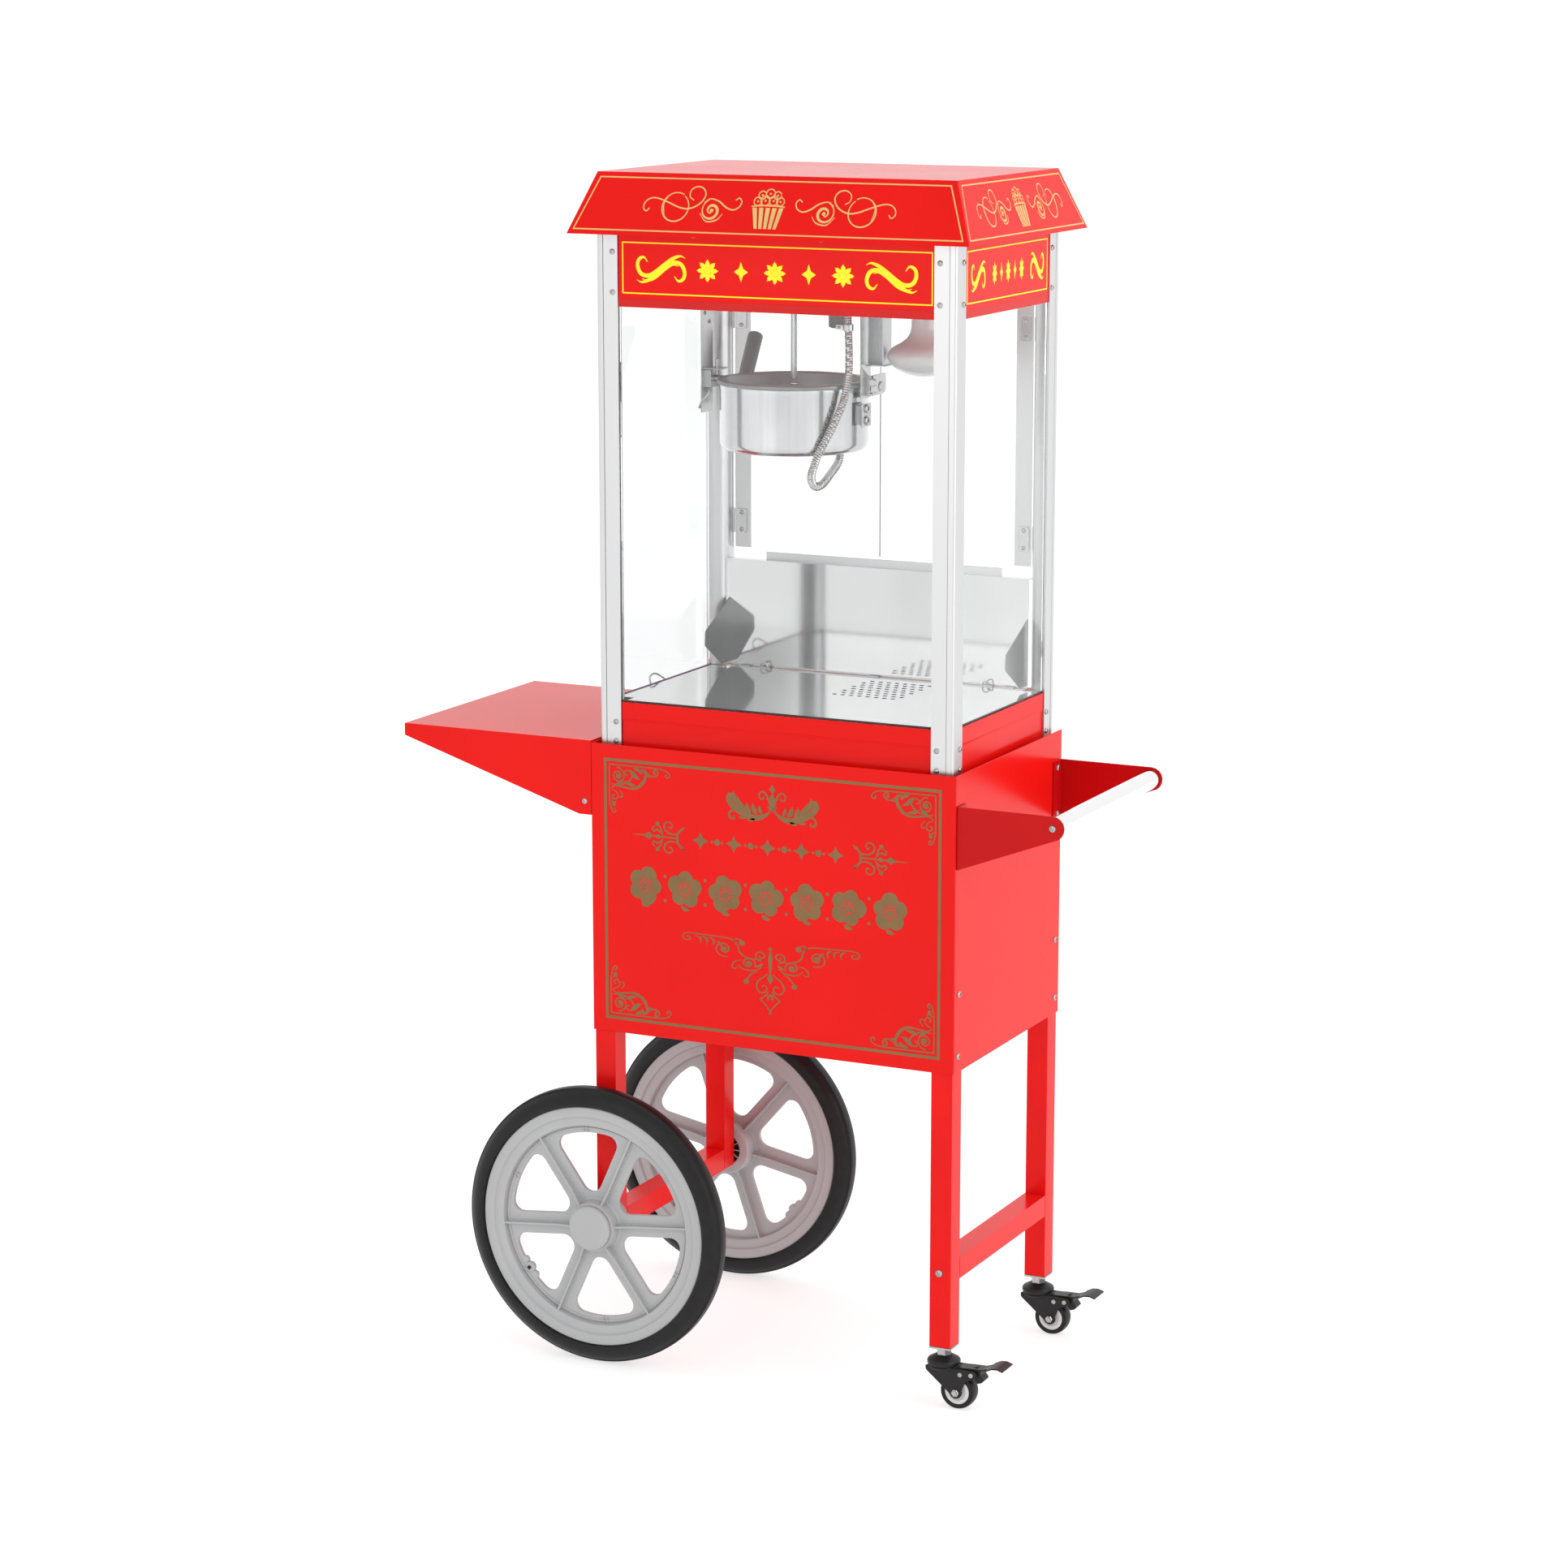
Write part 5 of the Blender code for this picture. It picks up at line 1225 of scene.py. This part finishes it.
def make_hanger_details():
    """Bracket pieces round the kettle that belong to the ceiling and the posts."""
    left_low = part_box("hanger_left")[0]
    right_low, right_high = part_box("hanger_right")
    shelf = Piece()
    shelf.block((left_low.x, -0.014, 1.292), (left_low.x + 0.0252, 0.014, 1.2938))
    shelf.bar((left_low.x + 0.0178, -0.004, 1.285), "z", 0.0022, 0.021, 16, 0.0004)
    shelf.block((left_low.x - 0.003, -0.011, 1.238), (left_low.x - 0.0002, 0.011, 1.27))
    shelf.tube(smooth_path([(left_low.x - 0.004, -0.013, 1.242), (left_low.x + 0.003, -0.0175, 1.252),
                            (left_low.x + 0.011, -0.0165, 1.26), (left_low.x + 0.012, -0.015, 1.266)]),
               0.0017, 12)
    shelf.done("left_latch", STEEL, "cart", "bright_steel", bevel=0.0003)
    pins = Piece()
    pins.bar((right_high.x - 0.002, 0, PIVOT_Z), "x", 0.0065, 0.004, 32, 0.0008)
    pins.bar((right_low.x + 0.019, -0.016, PIVOT_Z + 0.006), "-y", 0.005, 0.003, 24, 0.0008)
    pins.done("pivot_pin_head", ZINC, "cart", "bright_steel")
    block = Piece()
    x = right_low.x
    block.block((x + 0.014, -0.016, 1.271), (x + 0.0215, 0.016, 1.274))
    block.block((x + 0.014, -0.016, 1.274), (x + 0.0165, 0.016, 1.2945))
    block.block((x + 0.0185, -0.016, 1.274), (x + 0.0225, 0.016, 1.296))
    block.slab([(x + 0.0012, 1.306), (x + 0.0012, 1.274), (x + 0.013, 1.274), (x + 0.013, 1.293),
                (x + 0.004, 1.302)], -0.0148, -0.0136, upright_plane())
    block.done("pivot_saddle", STEEL, "cart", "bright_steel", bevel=0.0008)
    channel = Piece()
    x0, x1 = MID_X + 0.06, MID_X + 0.082
    channel.block((x0, -0.012, 1.308), (x0 + 0.0015, 0.012, CEILING_Z - 0.0004))
    channel.block((x1 - 0.0015, -0.012, 1.308), (x1, 0.012, CEILING_Z - 0.0004))
    channel.block((x0, 0.0105, 1.308), (x1, 0.012, CEILING_Z - 0.0004))
    channel.block((x0 - 0.003, -0.013, 1.306), (x1 + 0.003, 0.013, 1.3078))
    channel.done("ceiling_channel", STEEL, "cart", "bright_steel", bevel=0.0003)
    plug = Piece()
    plug_at = (MID_X + 0.018, -0.01, 0)
    plug.lathe([(0, 1.3525), (0.009, 1.3525), (0.0122, 1.354), (0.0125, 1.358), (0.0125, 1.37),
                (0.0105, 1.373), (0.0075, 1.374), (0.0075, CEILING_Z - 0.0006), (0, CEILING_Z - 0.0006)],
               Matrix.Translation(plug_at), 12)
    plug.done("ceiling_plug", GRIP, "cart", "black_plastic", bevel=0.0005)
    clamp = Piece()
    cx, cy = MID_X + 0.0442, -0.0363
    clamp.lathe([(0.0056, 1.352), (0.0068, 1.352), (0.0068, 1.36), (0.0056, 1.36)],
                Matrix.Translation((cx, cy, 0)), 32)
    clamp.block((cx - 0.016, cy - 0.003, 1.3528), (cx - 0.006, cy + 0.003, 1.3592))
    clamp.bar((cx - 0.0125, cy - 0.0075, 1.356), "y", 0.0017, 0.015, 14)
    clamp.lathe([(0, 1.383), (0.0088, 1.383), (0.0088, CEILING_Z - 0.0004), (0, CEILING_Z - 0.0004)],
                Matrix.Translation((cx - 0.0006, cy + 0.0003, 0)), 6)
    clamp.done("conduit_clamp", STEEL, "cart", "bright_steel", bevel=0.0003)
    places = [((left_low.x + 0.0014, y, z), "x", t) for y, z,
              t in ((-0.006, 1.364, 10), (0.006, 1.352, 50))]
    screws("hanger_screws", places, 0.0026, "cart", "bright_steel")


make_hanger_details()


def make_lamp():
    low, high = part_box("lamp_bulb")
    at = Matrix.Translation(((low.x + high.x) / 2, 0, 0))
    bulb = Piece()
    front = [(0.0475 * math.sin(math.radians(a)), 1.321 - 0.0262 * math.cos(math.radians(a)) ** 1.15)
             for a in range(0, 86, 6)]
    back = [(0.0475, 1.32), (0.0464, 1.3252), (0.043, 1.33), (0.0365, 1.3345), (0.0292, 1.3385),
            (0.0228, 1.3435), (0.0188, 1.35), (0.0174, 1.358), (0.0172, 1.38), (0, 1.3802)]
    bulb.lathe(front + back, at, 96)
    bulb.done("lamp_glass", LAMP_WHITE, "cart", "lamp_white", sharp=50, replaces="lamp_bulb")
    collar = Piece()
    collar.lathe([(0, 1.378), (0.0176, 1.378), (0.0182, 1.381), (0.0176, 1.3835), (0.014, 1.385),
                  (0.014, 1.418), (0, 1.418)], at, 40)
    collar.done("lamp_collar", ZINC, "cart", "lamp_white")


make_lamp()


# ------------------------------------------------------------------ cabinet floor, flap, doors
def make_tray():
    low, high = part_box("cabinet_tray")
    tray = Piece()
    holes = []
    for row in range(8):
        for col in range(8):
            x = MID_X + 0.007 + col * 0.0118 + (0.0059 if row % 2 else 0)
            y = 0.005 + row * 0.015
            holes.append([(x + 0.0034 * math.cos(TAU * k / 14), y + 0.0034 * math.sin(TAU * k / 14))
                          for k in range(14)])
    hx, hy = 0.238, 0.1545
    nx, ny = 0.214, 0.131
    edge = [(-nx, -hy), (nx, -hy), (nx, -ny), (hx, -ny), (hx, ny), (nx, ny), (nx, 0.143), (-nx, 0.143),
            (-nx, ny), (-hx, ny), (-hx, -ny), (-nx, -ny)]
    edge = [(MID_X + x, y) for x, y in edge]
    plate = moulded_plate([edge] + holes, 0.0011, 0)
    tray.shell(*plate, Matrix.Translation((0, 0, high.z - 0.00056)))
    inner_x, inner_y = 0.2115, 0.1285
    for s in (-1, 1):
        tray.block((MID_X - inner_x, s * inner_y - 0.0006, low.z),
                   (MID_X + inner_x, s * inner_y + 0.0006, high.z - 0.0008))
        tray.block((MID_X + s * inner_x - 0.0006, -inner_y, low.z),
                   (MID_X + s * inner_x + 0.0006, inner_y, high.z - 0.0008))
    tray.done("perforated_tray", MIRROR, "cart", "mirror_steel", replaces="cabinet_tray")


make_tray()


def make_flap():
    """The tipping flap: mirror plate, folded top, raised lip, and two darker cheeks."""
    y0 = FLAP_LOW.y + 0.074
    top, foot = 1.0225, FLAP_LOW.z
    half = (FLAP_HIGH.x - FLAP_LOW.x) / 2
    plate = Piece()
    plate.block((MID_X - half, y0, foot), (MID_X + half, y0 + 0.0012, top - 0.0012))
    plate.block((MID_X - half, y0, top - 0.0012), (MID_X + half, y0 + 0.012, top))
    plate.done("flap_plate", MIRROR, "flap", "mirror_steel", replaces="serving_flap")
    lip = Piece()
    lip.block((MID_X - 0.165, y0 + 0.0108, top - 0.0012), (MID_X + 0.173, y0 + 0.012, top + 0.0105))
    lip.done("flap_lip", ALUMINIUM, "flap", "mirror_steel", bevel=0.0002)
    foot_strip = Piece()
    foot_strip.block((MID_X - half + 0.001, y0 + 0.0001, TRAY_HIGH.z + 0.0003),
                     (MID_X + half - 0.001, y0 + 0.0011, foot + 0.0005))
    foot_strip.done("flap_foot_strip", ALUMINIUM, "flap", "mirror_steel")
    cheeks = Piece()
    outline = [(y0 + 0.0005, 0.9705), (y0 - 0.069, 0.936), (y0 - 0.073, 0.9325), (y0 - 0.074, 0.916),
               (y0 - 0.072, 0.913), (y0 - 0.024, 0.8825), (y0 + 0.0005, 0.8825)]
    sideways = Matrix(((0, 0, 1, 0), (1, 0, 0, 0), (0, 1, 0, 0), (0, 0, 0, 1)))
    for s in (-1, 1):
        cheeks.slab(outline, -0.0006, 0.0006,
                    Matrix.Translation((MID_X + s * (half - 0.0008), 0, 0)) @ sideways)
    cheeks.done("flap_cheeks", CHEEK, "flap", "mirror_steel", bevel=0.0002)
    clips = Piece()
    for x in (-0.19, -0.16, 0.0, 0.16, 0.19):
        clips.block((MID_X + x - 0.008, y0 - 0.006, TRAY_HIGH.z + 0.0001),
                    (MID_X + x + 0.008, y0 - 0.0028, TRAY_HIGH.z + 0.0014))
        if abs(x) == 0.16:
            clips.tube(smooth_path([(MID_X + x - 0.005, y0 - 0.006, TRAY_HIGH.z + 0.0014),
                                    (MID_X + x - 0.004, y0 - 0.008, 0.8835),
                                    (MID_X + x + 0.002, y0 - 0.008, 0.885),
                                    (MID_X + x + 0.005, y0 - 0.006, TRAY_HIGH.z + 0.0014)]), 0.0009, 10)
    clips.done("flap_clips", STEEL, "cart", "mirror_steel")


make_flap()


def make_door_fittings():
    """Grey strips on the outer edge of each acrylic door, their hinge plates and screws."""
    for side, label in ((-1, "left"), (1, "right")):
        body = label + "_door"
        low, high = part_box("door_" + label)
        x_out = (low.x if side < 0 else high.x) - side * 0.0033
        x_in = x_out - side * 0.0232
        y = low.y - 0.0003
        strip = Piece()
        strip.block((min(x_out, x_in), y - 0.0014, low.z + 0.001), (max(x_out, x_in), y, high.z - 0.001))
        strip.done("door_strip_" + label, STRIP_GREY, body, "clear_door", bevel=0.0003)
        plates, places = Piece(), []
        for z0, z1 in ((1.329, 1.36), (1.056, 1.089)):
            xc = x_out - side * 0.01
            outline = []
            for cxs, czs, start in ((1, 1, 0), (-1, 1, 90), (-1, -1, 180), (1, -1, 270)):
                outline += corner_arc(xc + cxs * 0.0045, (z1 if czs > 0 else z0) - czs * 0.003, 0.003,
                                      start, start + 90, 4)
            plates.slab(outline, y - 0.003, y - 0.0014, upright_plane())
            plates.bar((x_out + side * 0.0034, y + 0.0002, z0), "z", 0.0022, z1 - z0, 16, 0.0004)
            for z in (z0 + 0.005, z1 - 0.005):
                places.append(((xc, y - 0.003, z), "-y", 25 + 40 * (z > 1.2)))
        plates.done("door_hinges_" + label, STEEL, body, "bright_steel", bevel=0.0003)
        screws("door_hinge_screws_" + label, places, 0.003, body, "bright_steel")


make_door_fittings()


def make_glass_edges():
    """Thin purple strips at the head of each pane and along its foot: painted reflection of the pane edges.
    """
    strips = Piece()
    for node in ("glass_front", "glass_left", "glass_right"):
        low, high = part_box(node)
        inset = 0.0006
        strips.block((low.x + inset, low.y + inset, high.z + 0.0001),
                     (high.x - inset, high.y - inset, high.z + 0.0004))
    strips.done("glass_edge_painted_reflection", GLASS_EDGE_REFLECTION, "cart", "clear_glass")
    foot_reflection = Piece()
    for node, axis in (("glass_front", "x"), ("glass_left", "y"), ("glass_right", "y")):
        low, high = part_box(node)
        inward = 0.0005
        z = BASE_HIGH.z + 0.0012
        if axis == "x":
            foot_reflection.block((low.x, high.y, z), (high.x, high.y + inward, z + 0.001))
        elif node == "glass_left":
            foot_reflection.block((high.x, low.y, z), (high.x + inward, high.y, z + 0.001))
        else:
            foot_reflection.block((low.x - inward, low.y, z), (low.x, high.y, z + 0.001))
    foot_reflection.done("glass_foot_painted_reflection", GLASS_EDGE_REFLECTION, "cart", "clear_glass")


make_glass_edges()


# ------------------------------------------------------------------ switches and rear panel
def make_switches():
    bezels = Piece()
    for label in ("heat", "motor", "lamp"):
        node = "switch_" + label
        dress(node, BLACK, 0.0006)
        low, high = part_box(node)
        x, z = (low.x + high.x) / 2, 1.43
        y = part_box("control_panel")[1].y
        w, h, t = 0.0135, 0.0178, 0.003
        for x0, z0, x1, z1 in ((-w, -h, w, -h + t), (-w, h - t, w, h), (-w, -h + t, -w + t, h - t),
                               (w - t, -h + t, w, h - t)):
            bezels.block((x + x0, y + 0.0001, z + z0), (x + x1, y + 0.0014, z + z1))
        mark = Piece()
        body = label + "_switch"
        face = high.y - 0.0001
        mark.block((x - 0.0005, face - 0.0022, z + 0.005), (x + 0.0005, face - 0.0002, z + 0.009))
        mark.done("switch_mark_" + label, LAMP_WHITE, body, "black_plastic")
    bezels.done("switch_bezels", BLACK, "cart", "black_plastic", bevel=0.0004)
    vents = Piece()
    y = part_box("control_panel")[1].y
    for k in range(5):
        x = MID_X + 0.125 + 0.01 * k
        vents.block((x, y + 0.0001, 1.415), (x + 0.004, y + 0.0004, 1.445))
    vents.done("rear_vent_slots", BLACK, "cart", "black_plastic")


make_switches()


# ------------------------------------------------------------------ screws all over
def place_screws():
    post = []
    post_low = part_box("post_front_left")[0]
    face_y = post_low.y + 0.0004
    side_x = MID_X - post_low.x - 0.0004
    for z, turn in ((1.4507, 12), (1.4, 57), (0.851, 33), (0.826, 74)):
        for sx in (-1, 1):
            for sy, axis in ((-1, "-y"), (1, "y")):
                post.append(((MID_X + sx * 0.2245, sy * abs(face_y), z), axis, turn + 19 * sx))
            for sy in (-1, 1):
                post.append(((MID_X + sx * side_x, sy * 0.141, z), "x" if sx > 0 else "-x", turn + 31 * sy))
    screws("post_screws", post, 0.0036, "cart")

    panel = []
    for sx, axis in ((-1, "-x"), (1, "x")):
        x = FRONT_HIGH.x if sx > 0 else FRONT_LOW.x
        for y, z in ((-0.158, 0.543), (-0.16, 0.463), (0.16, 0.543), (0.161, 0.464)):
            panel.append(((x, y, z), axis, 40 * z * 10 + 100 * y))
        if sx > 0:
            for z in (0.7747, 0.7142):
                for y in (-0.158, 0.158):
                    panel.append(((x + 0.0021, y, z), axis, 1000 * z))
    screws("panel_screws", panel, 0.0042, "cart")

    leg_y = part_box("leg_front_right")[0].y
    bolts = [((MID_X + 0.2377, leg_y, 0.1795), "-y", 35), ((MID_X + 0.2377, -leg_y, 0.1795), "y", 10),
             ((MID_X - 0.2377, leg_y, 0.203), "-y", 70), ((MID_X - 0.2377, -leg_y, 0.203), "y", 20)]
    screws("leg_bolts", bolts, 0.0048, "cart")

    tube_low, tube_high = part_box("handle_tube")
    arm_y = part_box("handle_arm_rear")[1].y
    x, z = (tube_low.x + tube_high.x) / 2, (tube_low.z + tube_high.z) / 2
    ends = [((x, -arm_y, z), "-y", 30), ((x, arm_y, z), "y", 62)]
    screws("handle_end_screws", ends, 0.0044, "cart")

    under = []
    for x in (-0.105, 0.07):
        under.append(((MID_X + x, ROOF_LOW.y + 0.02, ROOF_LOW.z), "-z", 0))
        under.append(((MID_X + x, ROOF_HIGH.y - 0.02, ROOF_LOW.z), "-z", 0))
    for y in (-0.09, 0.09):
        for sx in (-1, 1):
            under.append(((MID_X + sx * 0.26, y, ROOF_LOW.z), "-z", 0))
    screws("roof_screws", under, 0.004, "cart")

    shelf = [((FRONT_LOW.x - 0.01, y, 0.745), "y" if y > 0 else "-y", 0)
             for y in (FRONT_LOW.y, -FRONT_LOW.y)]
    screws("shelf_screws", shelf, 0.0038, "cart")


place_screws()


def make_cupboard_hinges():
    """Two knuckle hinges on the storage door, half of each on the body."""
    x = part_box("cabinet_door")[0].x
    for label, z in (("lower", 0.53), ("upper", 0.71)):
        moving, fixed = Piece(), Piece()
        for k in range(4):
            z0 = z - 0.02 + 0.01 * k
            target = moving if k % 2 else fixed
            target.bar((x, 0.1763, z0 + 0.0003), "z", 0.0021, 0.0094, 20, 0.0004)
        moving.block((x + 0.0024, 0.1765, z - 0.018), (x + 0.019, 0.1775, z + 0.018))
        fixed.block((x - 0.02, 0.1741, z - 0.018), (x - 0.0022, 0.1753, z + 0.018))
        moving.done("cupboard_hinge_leaf_" + label, STEEL, "storage_door", "bright_steel", bevel=0.0002)
        fixed.done("cupboard_hinge_plate_" + label, STEEL, "cart", "bright_steel", bevel=0.0002)


make_cupboard_hinges()


def make_side_hook():
    """The little wire hook outside the left pane."""
    hook = Piece()
    x = MID_X - 0.2448
    hook.tube(smooth_path([(x - 0.0005, -0.028, 0.87), (x - 0.002, -0.028, 0.877),
                           (x - 0.0075, -0.02, 0.884), (x - 0.0085, -0.008, 0.8868),
                           (x - 0.008, 0.004, 0.884), (x - 0.0022, 0.012, 0.877),
                           (x - 0.0005, 0.012, 0.87)]), 0.0013, 12)
    hook.done("side_hook", STEEL, "cart", "bright_steel")


make_side_hook()
